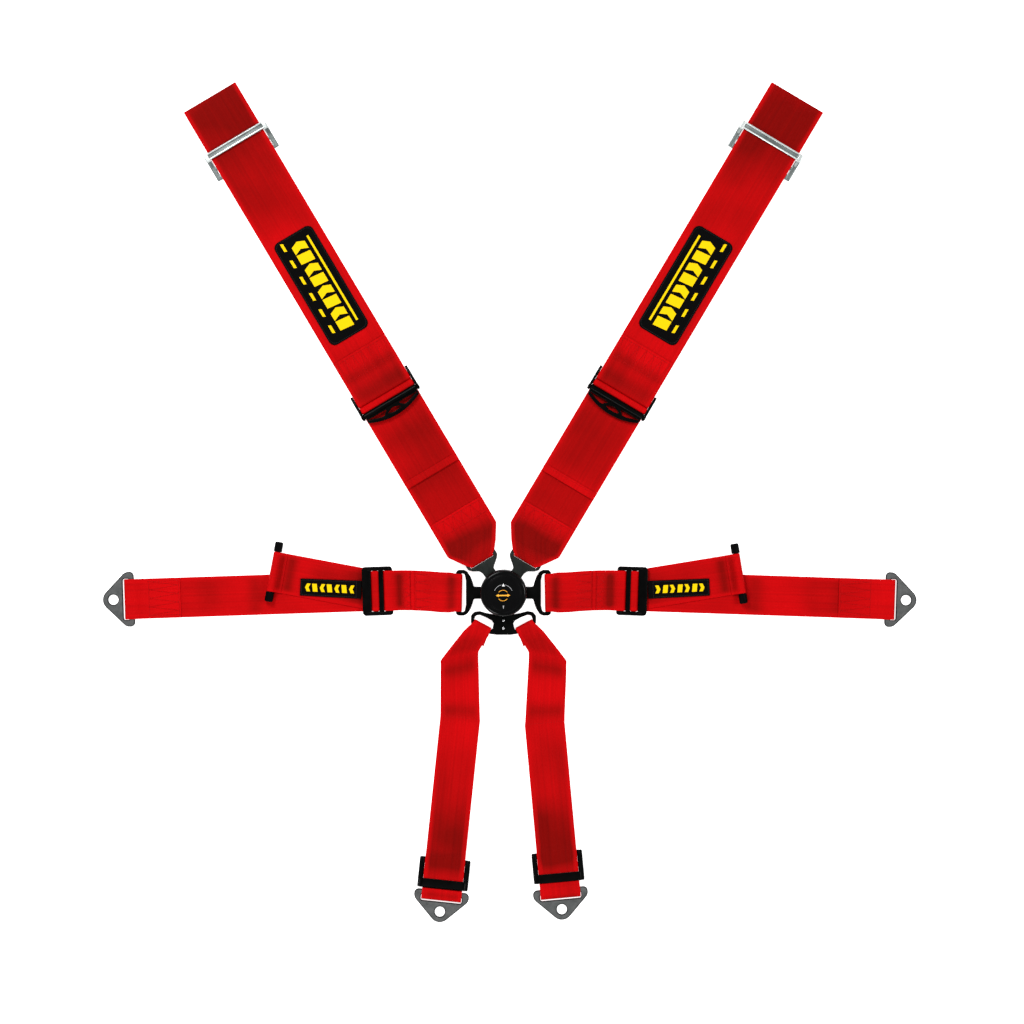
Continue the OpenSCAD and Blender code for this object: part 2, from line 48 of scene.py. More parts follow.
# ---- Where the harness lies ----
# The harness is laid out flat on a pale table and seen from straight above.
# Two big soft lamps and a low one from the foot end light it, with a pale room around it.

eye = bpy.data.cameras.new("eye")
eye.lens = 85
eye.sensor_width = 36
eye.clip_end = 20
camera = bpy.data.objects.new("eye", eye)
camera.location = (0.0108, 0.1022, 3.0706)
stage.collection.objects.link(camera)
stage.camera = camera
stage.view_settings.view_transform = "Standard"

room = bpy.data.worlds.new("room")
room.use_nodes = True
room.node_tree.nodes["Background"].inputs["Color"].default_value = (1, 1, 1, 1)
room.node_tree.nodes["Background"].inputs["Strength"].default_value = 0.38
stage.world = room

for lamp_name, spot, power, wide in [
    ("lamp_head", (-0.9, 1.5, 1.9), 46, 0.9),
    ("lamp_right", (1.7, 0.3, 1.7), 26, 0.8),
    ("lamp_foot", (-0.8, -1.4, 1.5), 24, 0.7),
]:
    light = bpy.data.lights.new(lamp_name, "AREA")
    light.energy = power
    light.size = wide
    lamp = bpy.data.objects.new(lamp_name, light)
    lamp.location = spot
    lamp.rotation_euler = (Vector((0, 0.1, 0)) - Vector(spot)).to_track_quat("-Z", "Y").to_euler()
    stage.collection.objects.link(lamp)


def new_finish(name, values):
    """A material with these values set on its main shader's own sockets."""
    finish = bpy.data.materials.new(name)
    finish.use_nodes = True
    for socket, value in values.items():
        finish.node_tree.nodes["Principled BSDF"].inputs[socket].default_value = value
    return finish


def step(finish, kind, inputs=None, **settings):
    """Adds one node to a material: an input that is a socket is linked, any other value is set."""
    node = finish.node_tree.nodes.new("ShaderNode" + kind)
    for key, value in settings.items():
        setattr(node, key, value)
    for key, value in (inputs or {}).items():
        if isinstance(value, bpy.types.NodeSocket):
            finish.node_tree.links.new(value, node.inputs[key])
        else:
            node.inputs[key].default_value = value
    return node


def sum_up(finish, how, a, b, c=0.0):
    """A Math node's result."""
    return step(finish, "Math", {0: a, 1: b, 2: c}, operation=how).outputs[0]


def to_shader(finish, socket, value):
    """Links a result into the material's main shader."""
    shader = finish.node_tree.nodes["Principled BSDF"]
    finish.node_tree.links.new(value, shader.inputs[socket])


table_top = new_finish("pale table", {"Roughness": 0.9, "Specular IOR Level": 0.1})
grain = step(table_top, "TexNoise", {"Scale": 3.0, "Detail": 2.0}).outputs[0]
tone = step(table_top, "MapRange", {0: grain, 1: 0.3, 2: 0.7, 3: 0.90, 4: 0.93}).outputs[0]
to_shader(table_top, "Base Color", step(table_top, "CombineColor", {0: tone, 1: tone, 2: tone}).outputs[0])
table_glow = table_top.node_tree.nodes["Principled BSDF"]
table_glow.inputs["Emission Color"].default_value = (1, 1, 1, 1)
table_glow.inputs["Emission Strength"].default_value = 0.85
board = bpy.data.meshes.new("table")
board.from_pydata([(-6, -6, 0), (6, -6, 0), (6, 6, 0), (-6, 6, 0)], [], [(0, 1, 2, 3)])
board.materials.append(table_top)
table = bpy.data.objects.new("table", board)
stage.collection.objects.link(table)

# ---- Webbing ----
# Polyester webbing woven with a twill that turns at every stripe of warp, 1.2 mm thick, dyed red,
# with denser selvedges. 76 mm wide at the shoulders, 51 mm at the hips and between the legs.

WEB = 1.2
SHOULDER_WEB = 76.2
LAP_WEB = 50.8


def weave_bump(finish, pitch, stripe, strength):
    """The relief of a turned twill on the piece's own UV map, which is in metres, and its height."""
    cloth = step(finish, "SeparateXYZ", {0: step(finish, "TexCoord").outputs["UV"]})
    across, along = cloth.outputs[0], cloth.outputs[1]
    turned_twill = sum_up(finish, "PINGPONG", across, stripe)
    diagonal = sum_up(finish, "ADD", along, turned_twill)
    cord = sum_up(finish, "SINE", sum_up(finish, "MULTIPLY", diagonal, 2 * math.pi / pitch), 0.0)
    warp = sum_up(finish, "SINE", sum_up(finish, "MULTIPLY", across, 2 * math.pi / (stripe * 0.5)), 0.0)
    height = sum_up(finish, "MULTIPLY_ADD", cord, 0.5, sum_up(finish, "MULTIPLY", warp, 0.35))
    bump = step(finish, "Bump", {"Strength": strength, "Distance": 0.00025, "Height": height})
    return height, bump, across, along


red_web = new_finish("red webbing", {"Roughness": 0.62, "Specular IOR Level": 0.03})
rib, web_bump, web_across, web_along = weave_bump(red_web, 0.0019, 0.0024, 0.55)
place_in_row = step(red_web, "TexCoord").outputs["Object"]
# painted shade: this broad noise both buckles the surface and darkens the red in blotches, as shade on the
# buckles
buckling_relief_and_shade = step(red_web, "TexNoise", {"Vector": place_in_row, "Scale": 13.0, "Detail": 2.0, "Roughness": 0.4})
painted_shade_blotches = step(red_web, "MapRange", {0: buckling_relief_and_shade.outputs[0], 1: 0.36, 2: 0.64, 3: 0.0, 4: 1.0}).outputs[0]
# painted shade: a value laid on each strap's points that darkens the red where its folds and creases shade it
painted_fold_shade = step(red_web, "Attribute", attribute_name="painted_fold_shade").outputs["Fac"]
painted_shade_depth = sum_up(red_web, "MULTIPLY_ADD", painted_shade_blotches, 0.34, painted_fold_shade)
selvedge = step(red_web, "Attribute", attribute_name="from_edge").outputs["Fac"]
# painted light: the painted shade fades out near each edge, so the edges stay bright as if lit
shaded_middle_mask = step(red_web, "MapRange", {0: selvedge, 1: 0.0015, 2: 0.0075, 3: 0.0, 4: 1.0}).outputs[0]
painted_shade_off_edges = sum_up(red_web, "MULTIPLY", painted_shade_depth, sum_up(red_web, "MULTIPLY_ADD", shaded_middle_mask, 0.85, 0.15))
streaks = step(red_web, "CombineXYZ", {
    0: sum_up(red_web, "MULTIPLY", web_across, 420.0), 1: sum_up(red_web, "MULTIPLY", web_along, 5.0),
}).outputs[0]
warp_tone = step(red_web, "TexNoise", {"Vector": streaks, "Scale": 1.0, "Detail": 3.0}).outputs[0]
# painted shade: the first red is the dye's own colour, the second darker red is painted shade, mixed in by
# the shade value
red_dye_with_painted_shade = step(red_web, "Mix", {0: painted_shade_off_edges, 6: (0.51, 0.0010, 0.0022, 1), 7: (0.185, 0.0012, 0.0006, 1)},
            data_type="RGBA").outputs[2]
# painted shade: the weave's grooves are painted darker than its ribs
weave_groove_shade = step(red_web, "MapRange", {0: rib, 1: -0.8, 2: 0.8, 3: 0.80, 4: 1.10}).outputs[0]
warp_light = step(red_web, "MapRange", {0: warp_tone, 1: 0.3, 2: 0.7, 3: 0.88, 4: 1.10}).outputs[0]
web_tone = step(red_web, "VectorMath", {0: red_dye_with_painted_shade, 3: sum_up(red_web, "MULTIPLY", weave_groove_shade, warp_light)},
                operation="SCALE").outputs[0]
to_shader(red_web, "Base Color", web_tone)
buckled = step(red_web, "Bump", {
    "Strength": 0.5, "Distance": 0.004, "Height": buckling_relief_and_shade.outputs[0], "Normal": web_bump.outputs[0],
}).outputs[0]
to_shader(red_web, "Normal", buckled)


def row_place(side, at=(0, 0), turn=0.0, across=1):
    """Turns a strap's own millimetres (along, across, up) into the row frame; side is -1 left, 1 right."""
    return (
        Matrix.Diagonal((side, 1, 1, 1))
        @ Matrix.Translation((at[0] / 1000, at[1] / 1000, 0))
        @ Matrix.Rotation(math.radians(turn), 4, "Z")
        @ Matrix.Diagonal((0.001, 0.001 * across, 0.001, 1))
    )


def rounded_line(corners, radius=0.0, closed=False):
    """The line through the corners with an arc at each; a corner's third number is its own radius."""
    line = []
    for i, corner in enumerate(corners):
        here = Vector(corner[:2])
        r = corner[2] if len(corner) > 2 else radius
        if r <= 0 or (not closed and i in (0, len(corners) - 1)):
            line.append(here)
            continue
        back = Vector(corners[i - 1][:2]) - here
        on = Vector(corners[(i + 1) % len(corners)][:2]) - here
        bend = math.pi - back.angle(on)
        if bend < 0.02:
            line.append(here)
            continue
        reach = min(r * math.tan(bend / 2), 0.499 * back.length, 0.499 * on.length)
        r = reach / math.tan(bend / 2)
        middle = here + (back.normalized() + on.normalized()).normalized() * math.hypot(r, reach)
        spoke = here + back.normalized() * reach - middle
        way = 1 if on.x * back.y - on.y * back.x > 0 else -1
        steps = max(2, math.ceil(bend / 0.22))
        for k in range(steps + 1):
            turn = Matrix.Rotation(way * bend * k / steps, 2)
            line.append(middle + turn @ spoke)
    return line


def in_steps(line, longest):
    """The same line with its long runs cut into steps."""
    run = [line[0]]
    for point in line[1:]:
        start = run[-1]
        count = max(1, round((point - start).length / longest))
        run += [start.lerp(point, k / count) for k in range(1, count + 1) if (point - start).length > 1e-4]
    return run


def face_out(mesh, sharp=38):
    """Merges doubles, turns the faces outwards and keeps the hard corners."""
    shell = bmesh.new()
    shell.from_mesh(mesh)
    bmesh.ops.remove_doubles(shell, verts=shell.verts, dist=2e-6)
    bmesh.ops.dissolve_degenerate(shell, edges=shell.edges, dist=1e-6)
    bmesh.ops.recalc_face_normals(shell, faces=shell.faces)
    shell.to_mesh(mesh)
    shell.free()
    mesh.shade_smooth()
    mesh.set_sharp_from_angle(angle=math.radians(sharp))
    return mesh


def show(name, mesh, finish=None):
    """An object at the origin for a finished mesh."""
    if finish is not None:
        mesh.materials.clear()
        mesh.materials.append(finish)
    piece = bpy.data.objects.new(name, mesh)
    stage.collection.objects.link(piece)
    return piece


def lay_web(name, rings, place, thick, finish, painted_shade_at):
    """Closed webbing through rings of (low edge, high edge, up direction, distance along), each in mm."""
    spots, from_edge, shade_values, cloth = [], [], [], []
    for low, high, up, along in rings:
        wide = (high - low).length
        inset = [0.0, 0.5, 1.4, 3.0]
        inner = [3.0 + (wide - 6.0) * k / 7 for k in range(1, 7)]
        reach = inset + inner + [wide - x for x in reversed(inset)]
        top, bottom = [], []
        for x in reach:
            edge = min(x, wide - x)
            half = thick / 2 * (0.4 if edge < 0.2 else 0.85 if edge < 0.8 else 1.0)
            middle = low.lerp(high, x / wide)
            shade_here = 0.0
            # painted shade: at each listed place (along, spread, amount) the red is darkened in a band,
            # standing in for the shade of folds and creases
            for at, spread, amount in painted_shade_at:
                shade_here += amount * math.exp(-(((along - at) / spread) ** 2))
            top.append((middle + up * half, edge, shade_here, (x, along)))
            bottom.append((middle - up * half, edge, shade_here, (x, along)))
        for spot, edge, shade_here, uv in top + bottom[::-1]:
            spots.append(place @ spot)
            from_edge.append(edge / 1000)
            shade_values.append(shade_here)
            cloth.append((uv[0] / 1000, uv[1] / 1000))
    ring = len(spots) // len(rings)
    faces = []
    for r in range(len(rings) - 1):
        for k in range(ring):
            a, b = r * ring + k, r * ring + (k + 1) % ring
            faces.append((a, b, b + ring, a + ring))
    for start in (0, len(spots) - ring):
        for k in range(ring // 2 - 1):
            faces.append((start + k, start + k + 1, start + ring - 2 - k, start + ring - 1 - k))
    mesh = bpy.data.meshes.new(name)
    mesh.from_pydata(spots, [], faces)
    uv_map = mesh.uv_layers.new(name="UVMap")
    for loop in mesh.loops:
        uv_map.data[loop.index].uv = cloth[loop.vertex_index]
    for key, values in (("from_edge", from_edge), ("painted_fold_shade", shade_values)):
        mesh.attributes.new(key, "FLOAT", "POINT").data.foreach_set("value", values)
    return show(name, face_out(mesh, 60), finish)


def sew_strap(name, side_line, width, place, edges=None, thick=WEB, radius=3.0, longest=4.0,
              finish=red_web, painted_shade_at=(), settle=0.12, swing=None):
    """A strap along a side line of (along, up); edges(along) gives its edges, swing(along) its turn."""
    line = in_steps(rounded_line(side_line, radius), longest)
    rings, run = [], 0.0
    for i, spot in enumerate(line):
        ahead = line[min(i + 1, len(line) - 1)] - line[max(i - 1, 0)]
        up = Vector((-ahead.y, 0, ahead.x)).normalized()
        if i:
            run += (spot - line[i - 1]).length
        low, high = edges(spot.x) if edges else (-width / 2, width / 2)
        ripple = settle * math.sin(spot.x / 23.0 + width) if spot.y < 3.0 else 0.0
        turned = Matrix.Rotation(math.radians(swing(spot.x) if swing else 0.0), 3, "Z")
        low_at = turned @ Vector((spot.x, low, spot.y + ripple))
        high_at = turned @ Vector((spot.x, high, spot.y - ripple * 0.6))
        rings.append((low_at, high_at, turned @ up, run))
    return lay_web(name, rings, place, thick, finish, painted_shade_at)


# ---- Stitching ----
# Bonded polyester thread, sewn in rows and zigzags through both layers wherever webbing is
# turned back on itself. Each stitch is a short raised length of thread pulled into the weave.


def twisted(name, low, high, values):
    """Plied thread in two tones, and the pattern that its turns follow."""
    finish = new_finish(name, values)
    turns = step(finish, "TexWave", {
        "Vector": step(finish, "TexCoord").outputs["Object"], "Scale": 900.0, "Distortion": 2.0,
    }).outputs["Fac"]
    tone = step(finish, "Mix", {0: turns, 6: (*low, 1), 7: (*high, 1)}, data_type="RGBA").outputs[2]
    to_shader(finish, "Base Color", tone)
    return finish, turns


thread, ply = twisted("red thread", (0.26, 0.001, 0.001), (0.45, 0.002, 0.003),
                      {"Roughness": 0.45, "Specular IOR Level": 0.06})
to_shader(thread, "Normal",
          step(thread, "Bump", {"Strength": 0.4, "Distance": 0.0001, "Height": ply}).outputs[0])
black_thread = twisted("black thread", (0.006, 0.006, 0.007), (0.022, 0.022, 0.024),
                       {"Roughness": 0.5, "Specular IOR Level": 0.08})[0]


def tree_with(name, sockets):
    """An empty Geometry Nodes tree with a mesh going in, named sizes, and a mesh coming out."""
    tree = bpy.data.node_groups.new(name, "GeometryNodeTree")
    tree.interface.new_socket("Mesh", in_out="INPUT", socket_type="NodeSocketGeometry")
    for label, kind in sockets:
        tree.interface.new_socket(label, in_out="INPUT", socket_type=kind)
    tree.interface.new_socket("Mesh", in_out="OUTPUT", socket_type="NodeSocketGeometry")
    return tree, tree.nodes.new("NodeGroupInput"), tree.nodes.new("NodeGroupOutput")


def grow(tree, kind, inputs=None, **settings):
    """Adds one node to a Geometry Nodes tree, as step() does to a material."""
    node = tree.nodes.new(kind)
    for key, value in settings.items():
        setattr(node, key, value)
    for key, value in (inputs or {}).items():
        if isinstance(value, bpy.types.NodeSocket):
            tree.links.new(value, node.inputs[key])
        else:
            node.inputs[key].default_value = value
    return node


stitch_tree, stitch_in, stitch_out = tree_with("stitches along a line", [
    ("Pitch", "NodeSocketFloat"), ("Size", "NodeSocketVector"), ("Thread", "NodeSocketMaterial"),
])
seam = grow(stitch_tree, "GeometryNodeMeshToCurve", {"Mesh": stitch_in.outputs["Mesh"]})
needle = grow(stitch_tree, "GeometryNodeResampleCurve",
              {"Curve": seam.outputs[0], "Length": stitch_in.outputs["Pitch"]}, mode="LENGTH")
heading = grow(stitch_tree, "FunctionNodeAlignRotationToVector",
               {"Vector": grow(stitch_tree, "GeometryNodeInputTangent").outputs[0]}, axis="X")
one_stitch = grow(stitch_tree, "GeometryNodeMeshUVSphere", {"Segments": 6, "Rings": 5, "Radius": 1.0})
sewn = grow(stitch_tree, "GeometryNodeInstanceOnPoints", {
    "Points": needle.outputs[0], "Instance": one_stitch.outputs[0],
    "Rotation": heading.outputs[0], "Scale": stitch_in.outputs["Size"],
})
pulled = grow(stitch_tree, "GeometryNodeRealizeInstances", {"Geometry": sewn.outputs[0]})
threaded = grow(stitch_tree, "GeometryNodeSetMaterial",
                {"Geometry": pulled.outputs[0], "Material": stitch_in.outputs["Thread"]})
stitch_tree.links.new(threaded.outputs[0], stitch_out.inputs[0])


def grown(name, mesh, tree, values):
    """Runs a tree on a mesh and gives the result as a plain object."""
    seed = show(name + "_lines", mesh)
    maker = seed.modifiers.new("maker", "NODES")
    maker.node_group = tree
    for item in tree.interface.items_tree:
        if item.in_out == "INPUT" and item.name in values:
            maker[item.identifier] = values[item.name]
    seed.update_tag()
    ready = seed.evaluated_get(bpy.context.evaluated_depsgraph_get())
    made = bpy.data.meshes.new_from_object(ready)
    made.name = name
    bpy.data.objects.remove(seed)
    made.shade_smooth()
    piece = bpy.data.objects.new(name, made)
    stage.collection.objects.link(piece)
    return piece


def sew(name, seams, place, body, pitch=3.2, size=(1.45, 0.42, 0.26), colour=thread):
    """Stitches along seams, each a list of (along, across, up) corners in mm, moving with a body."""
    spots, edges = [], []
    for line in seams:
        first = len(spots)
        spots += [place @ Vector(p) for p in line]
        edges += [(first + k, first + k + 1) for k in range(len(line) - 1)]
    lines = bpy.data.meshes.new(name)
    lines.from_pydata(spots, edges, [])
    values = {"Pitch": pitch / 1000, "Size": tuple(x / 1000 for x in size), "Thread": colour}
    piece = grown(name, lines, stitch_tree, values)
    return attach(piece, body)


def zigzag(start, end, half, up, teeth, lanes=1):
    """Boxed zigzag seams over a sewn zone from start to end along the strap."""
    box = [(start, -half, up), (end, -half, up), (end, half, up), (start, half, up), (start, -half, up)]
    seams = [box]
    for lane in range(lanes):
        low = start + (end - start) * lane / lanes
        high = start + (end - start) * (lane + 1) / lanes
        seams.append([
            (low if k % 2 else high, -half + 2 * half * k / teeth, up) for k in range(teeth + 1)
        ])
    return seams


# ---- Forged and pressed metal, moulded plastic ----
# Tongues and adjusters are pressed steel in black oxide. Anchor plates are phosphated grey,
# the slides are zinc plated, and the knob is moulded and polished black.


def worn_metal(name, low, high, values, scale=60.0, relief=0.25):
    """A finish that goes between two tones in fine blotches, with brushing marks in its relief."""
    finish = new_finish(name, values)
    spot = step(finish, "TexCoord").outputs["Object"]
    blotch = step(finish, "TexNoise", {
        "Vector": spot, "Scale": scale, "Detail": 6.0, "Roughness": 0.65,
    }).outputs[0]
    fine = step(finish, "TexNoise", {"Vector": spot, "Scale": scale * 22, "Detail": 2.0}).outputs[0]
    mixed = sum_up(finish, "MULTIPLY_ADD", fine, 0.4, sum_up(finish, "MULTIPLY", blotch, 0.6))
    share = step(finish, "MapRange", {0: mixed, 1: 0.38, 2: 0.62, 3: 0.0, 4: 1.0}).outputs[0]
    tone = step(finish, "Mix", {0: share, 6: (*low, 1), 7: (*high, 1)}, data_type="RGBA").outputs[2]
    to_shader(finish, "Base Color", tone)
    base = values.get("Roughness", 0.5)
    rough = step(finish, "MapRange", {0: blotch, 1: 0.3, 2: 0.7, 3: base * 0.8, 4: min(1.0, base * 1.25)})
    to_shader(finish, "Roughness", rough.outputs[0])
    bump = step(finish, "Bump", {"Strength": relief, "Distance": 0.00012, "Height": fine}).outputs[0]
    to_shader(finish, "Normal", bump)
    return finish


black_steel = worn_metal("black oxide steel", (0.0004, 0.0005, 0.0005), (0.0014, 0.0016, 0.0015),
                         {"Roughness": 0.32, "Specular IOR Level": 0.045})
satin_steel = worn_metal("satin black steel", (0.0095, 0.0115, 0.0105), (0.0165, 0.0195, 0.018),
                         {"Roughness": 0.42, "Specular IOR Level": 0.10})
black_plastic = worn_metal("moulded black plastic", (0.0005, 0.0005, 0.0006), (0.0016, 0.0016, 0.0018),
                           {"Roughness": 0.5, "Specular IOR Level": 0.03}, 90.0, 0.5)
knob_black = worn_metal("polished black", (0.0008, 0.0008, 0.0009), (0.0016, 0.0016, 0.0018),
                        {"Roughness": 0.16, "Specular IOR Level": 0.12}, 25.0, 0.03)
zinc = worn_metal("zinc plate", (0.085, 0.10, 0.098), (0.20, 0.225, 0.22),
                  {"Roughness": 0.36, "Metallic": 0.55}, 45.0, 0.3)
# a brighter zinc for the slide's upper faces
zinc_upper_faces = worn_metal("brighter zinc upper faces", (0.50, 0.54, 0.53), (0.64, 0.68, 0.67),
                       {"Roughness": 0.3, "Metallic": 0.4}, 45.0, 0.2)
phosphate = worn_metal("grey phosphate", (0.050, 0.054, 0.054), (0.100, 0.103, 0.103),
                       {"Roughness": 0.6, "Specular IOR Level": 0.2, "Metallic": 0.1}, 110.0, 0.7)
# painted shade: a near-black finish for the plates' rounded edges and walls, where they fall into shade
painted_edge_shade = worn_metal("edge painted as shade", (0.0025, 0.003, 0.003), (0.009, 0.009, 0.009),
                       {"Roughness": 0.5, "Specular IOR Level": 0.15}, 80.0, 0.5)
bright_steel = worn_metal("bright steel", (0.42, 0.43, 0.44), (0.62, 0.63, 0.64),
                          {"Roughness": 0.28, "Metallic": 1.0}, 70.0, 0.2)

UPRIGHT = Matrix(((1, 0, 0, 0), (0, 0, 1, 0), (0, 1, 0, 0), (0, 0, 0, 1)))


def press(outline, holes, low, high, place, finish, soften=0.5):
    """A plate cut to an outline of (x, y, corner radius), with holes and broken edges."""
    blank = bpy.data.curves.new("blank", "CURVE")
    blank.dimensions = "2D"
    blank.fill_mode = "BOTH"
    for ring in [outline, *holes]:
        spots = rounded_line(ring, 0, closed=True)
        spline = blank.splines.new("POLY")
        spline.points.add(len(spots) - 1)
        for point, spot in zip(spline.points, spots):
            point.co = (spot.x, spot.y, 0, 1)
        spline.use_cyclic_u = True
    blank.extrude = (high - low) / 2 - soften
    blank.bevel_depth = soften
    blank.bevel_resolution = 2
    blank.offset = -soften
    holder = bpy.data.objects.new("blank", blank)
    stage.collection.objects.link(holder)
    ready = holder.evaluated_get(bpy.context.evaluated_depsgraph_get())
    mesh = bpy.data.meshes.new_from_object(ready)
    bpy.data.objects.remove(holder)
    mesh.transform(place @ Matrix.Translation((0, 0, (low + high) / 2)))
    mesh.materials.clear()
    mesh.materials.append(finish)
    return face_out(mesh)


def turn_on_lathe(profile, place, finish, sides=72, sharp=38):
    """A turned part from a closed profile of (radius, height)."""
    spots, faces = [], []
    for k in range(sides):
        a = 2 * math.pi * k / sides
        spots += [place @ Vector((r * math.cos(a), r * math.sin(a), h)) for r, h in profile]
    n = len(profile)
    for k in range(sides):
        on = (k + 1) % sides
        for j in range(n):
            up = (j + 1) % n
            faces.append((k * n + j, on * n + j, on * n + up, k * n + up))
    mesh = bpy.data.meshes.new("turned")
    mesh.from_pydata(spots, [], faces)
    mesh.materials.append(finish)
    return face_out(mesh, sharp)


def weld(name, parts):
    """One object from finished meshes; each keeps its own material."""
    shell = bmesh.new()
    finishes = []
    for part in parts:
        first = len(shell.faces)
        shell.from_mesh(part)
        shell.faces.ensure_lookup_table()
        for face in shell.faces[first:]:
            finish = part.materials[face.material_index]
            if finish not in finishes:
                finishes.append(finish)
            face.material_index = finishes.index(finish)
    mesh = bpy.data.meshes.new(name)
    shell.to_mesh(mesh)
    shell.free()
    for finish in finishes:
        mesh.materials.append(finish)
    return show(name, mesh)


def block(x0, x1, y0, y1, r=1.0):
    """The outline of an oblong with rounded corners."""
    return [(x0, y0, r), (x1, y0, r), (x1, y1, r), (x0, y1, r)]


def round_hole(x, y, r, sides=40):
    """The outline of a drilled hole."""
    return [
        (x + r * math.cos(2 * math.pi * k / sides), y + r * math.sin(2 * math.pi * k / sides))
        for k in range(sides)
    ]


def mirrored(outline):
    """An outline drawn for one half, closed by its mirror image across the strap."""
    return outline + [(x, -y, *r) for x, y, *r in reversed(outline)]


# ---- Buckle ----
# Rotary buckle: a back cover, a steel plate and a cast housing held by five screws. A sprung ring
# with four pins holds the tongues until the cam under the knob lifts it.

BUCKLE = row_place(1)


def finish_node(node, finish):
    """Gives a designed part that stays in sight its material."""
    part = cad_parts[node]
    part.data.materials.clear()
    part.data.materials.append(finish)


for node in ("buckle_base_plate", "housing_screws", "centre_spindle", "latch_ring", "latch_springs",
             "cam_plate", "knob_spring"):
    finish_node(node, bright_steel)
finish_node("buckle_back_cover", black_plastic)
finish_node("buckle_housing", black_steel)

# ---- Release knob ----
# Moulded round knob with a polished face, a groove round it and a fluted rim for the fingers.
# Printed marks show where it points at rest and that it turns; it rides on the spindle.

knob_mesh = turn_on_lathe([
    (0, 29.7), (12, 29.78), (22.2, 29.85), (22.9, 29.45), (23.9, 29.45), (24.6, 29.85), (26.0, 29.8),
    (27.4, 29.35), (28.5, 28.3), (29.15, 26.8), (29.2, 22.9), (28.7, 21.9), (27.6, 21.6), (14.1, 21.6),
    (14.1, 26.4), (9, 26.4), (9, 21.6), (6.8, 21.5), (6.8, 17.5), (4.05, 17.5), (4.05, 27.9), (0, 27.9),
], BUCKLE, knob_black, 128)
knob = weld("knob_body", [knob_mesh])
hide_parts("release_knob")
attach(knob, "knob")

flute_tree, flute_in, flute_out = tree_with("flutes round a rim", [
    ("Radius", "NodeSocketFloat"), ("Height", "NodeSocketFloat"), ("Size", "NodeSocketVector"),
    ("Count", "NodeSocketInt"), ("Plastic", "NodeSocketMaterial"),
])
rim = grow(flute_tree, "GeometryNodeCurvePrimitiveCircle",
           {"Resolution": flute_in.outputs["Count"], "Radius": flute_in.outputs["Radius"]})
lift = grow(flute_tree, "ShaderNodeCombineXYZ", {"Z": flute_in.outputs["Height"]})
rim_up = grow(flute_tree, "GeometryNodeSetPosition", {"Geometry": rim.outputs[0], "Offset": lift.outputs[0]})
flute = grow(flute_tree, "GeometryNodeMeshUVSphere", {"Segments": 6, "Rings": 6, "Radius": 1.0})
round_it = grow(flute_tree, "FunctionNodeAlignRotationToVector",
                {"Vector": grow(flute_tree, "GeometryNodeInputTangent").outputs[0]}, axis="X")
flutes = grow(flute_tree, "GeometryNodeInstanceOnPoints", {
    "Points": rim_up.outputs[0], "Instance": flute.outputs[0],
    "Rotation": round_it.outputs[0], "Scale": flute_in.outputs["Size"],
})
moulded = grow(flute_tree, "GeometryNodeRealizeInstances", {"Geometry": flutes.outputs[0]})
polished = grow(flute_tree, "GeometryNodeSetMaterial",
                {"Geometry": moulded.outputs[0], "Material": flute_in.outputs["Plastic"]})
flute_tree.links.new(polished.outputs[0], flute_out.inputs[0])
grip = grown("knob_grip", bpy.data.meshes.new("grip"), flute_tree, {
    "Radius": 0.02905, "Height": 0.0246, "Size": (0.0008, 0.0004, 0.0017), "Count": 76, "Plastic": knob_black,
})
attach(grip, "knob")

white_print = worn_metal("white print", (0.72, 0.72, 0.72), (0.85, 0.85, 0.85), {"Roughness": 0.5})
grey_print = worn_metal("grey print", (0.28, 0.28, 0.29), (0.42, 0.42, 0.43), {"Roughness": 0.5})
orange_print = worn_metal("orange print", (0.80, 0.26, 0.01), (0.95, 0.50, 0.02), {"Roughness": 0.5})


def print_marks(name, marks, level, place, body, lift=0.12):
    """Thin marks laid on a surface: outlines of (along, across) with a material, level(along) mm up."""
    parts = []
    for outline, finish in marks:
        n = len(outline)
        spots = [place @ Vector((x, y, level(x) + lift)) for x, y in outline]
        spots += [place @ Vector((x, y, level(x) - 0.1)) for x, y in outline]
        faces = [tuple(range(n)), tuple(range(2 * n - 1, n - 1, -1))]
        faces += [(k, k + n, (k + 1) % n + n, (k + 1) % n) for k in range(n)]
        mesh = bpy.data.meshes.new(name)
        mesh.from_pydata(spots, [], faces)
        mesh.materials.append(finish)
        parts.append(face_out(mesh))
    piece = weld(name, parts)
    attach(piece, body)
    return piece


def arc_mark(x, y, inner, outer, start, end, steps=14):
    """The outline of a curved bar round (x, y), with angles in degrees."""
    angles = [math.radians(start + (end - start) * k / steps) for k in range(steps + 1)]
    far = [(x + outer * math.cos(a), y + outer * math.sin(a)) for a in angles]
    near = [(x + inner * math.cos(a), y + inner * math.sin(a)) for a in reversed(angles)]
    return far + near


print_marks("knob_marks", [
    ([(-1.8, 8.7), (1.8, 8.7), (0, 12.4)], white_print),
    (arc_mark(-0.2, -1.2, 11.6, 12.1, 22, 78), grey_print),
    (arc_mark(-0.2, -1.2, 11.6, 12.1, 102, 158), grey_print),
    (arc_mark(-0.5, -2.9, 6.4, 7.0, 38, 142), orange_print),
    (arc_mark(-0.5, -2.9, 6.4, 7.0, 218, 322), orange_print),
    ([(-6.0, -3.7), (5.0, -3.5), (5.0, -4.6), (8.6, -2.6), (5.0, -0.7), (5.0, -1.9), (-6.0, -2.1),
      (-6.0, -1.0), (-9.4, -2.9), (-6.0, -4.9)], orange_print),
    ([(-0.9, -15.6), (0.9, -15.6), (0.25, -19.4), (-0.25, -19.4)], grey_print),
], lambda x: 29.75, BUCKLE, "knob", 0.16)

# ---- Crotch strap plate ----
# Pressed steel yoke that stays in the buckle and carries both crotch straps in its two eyes.
# A small bar riveted over its stem locks it to the housing.

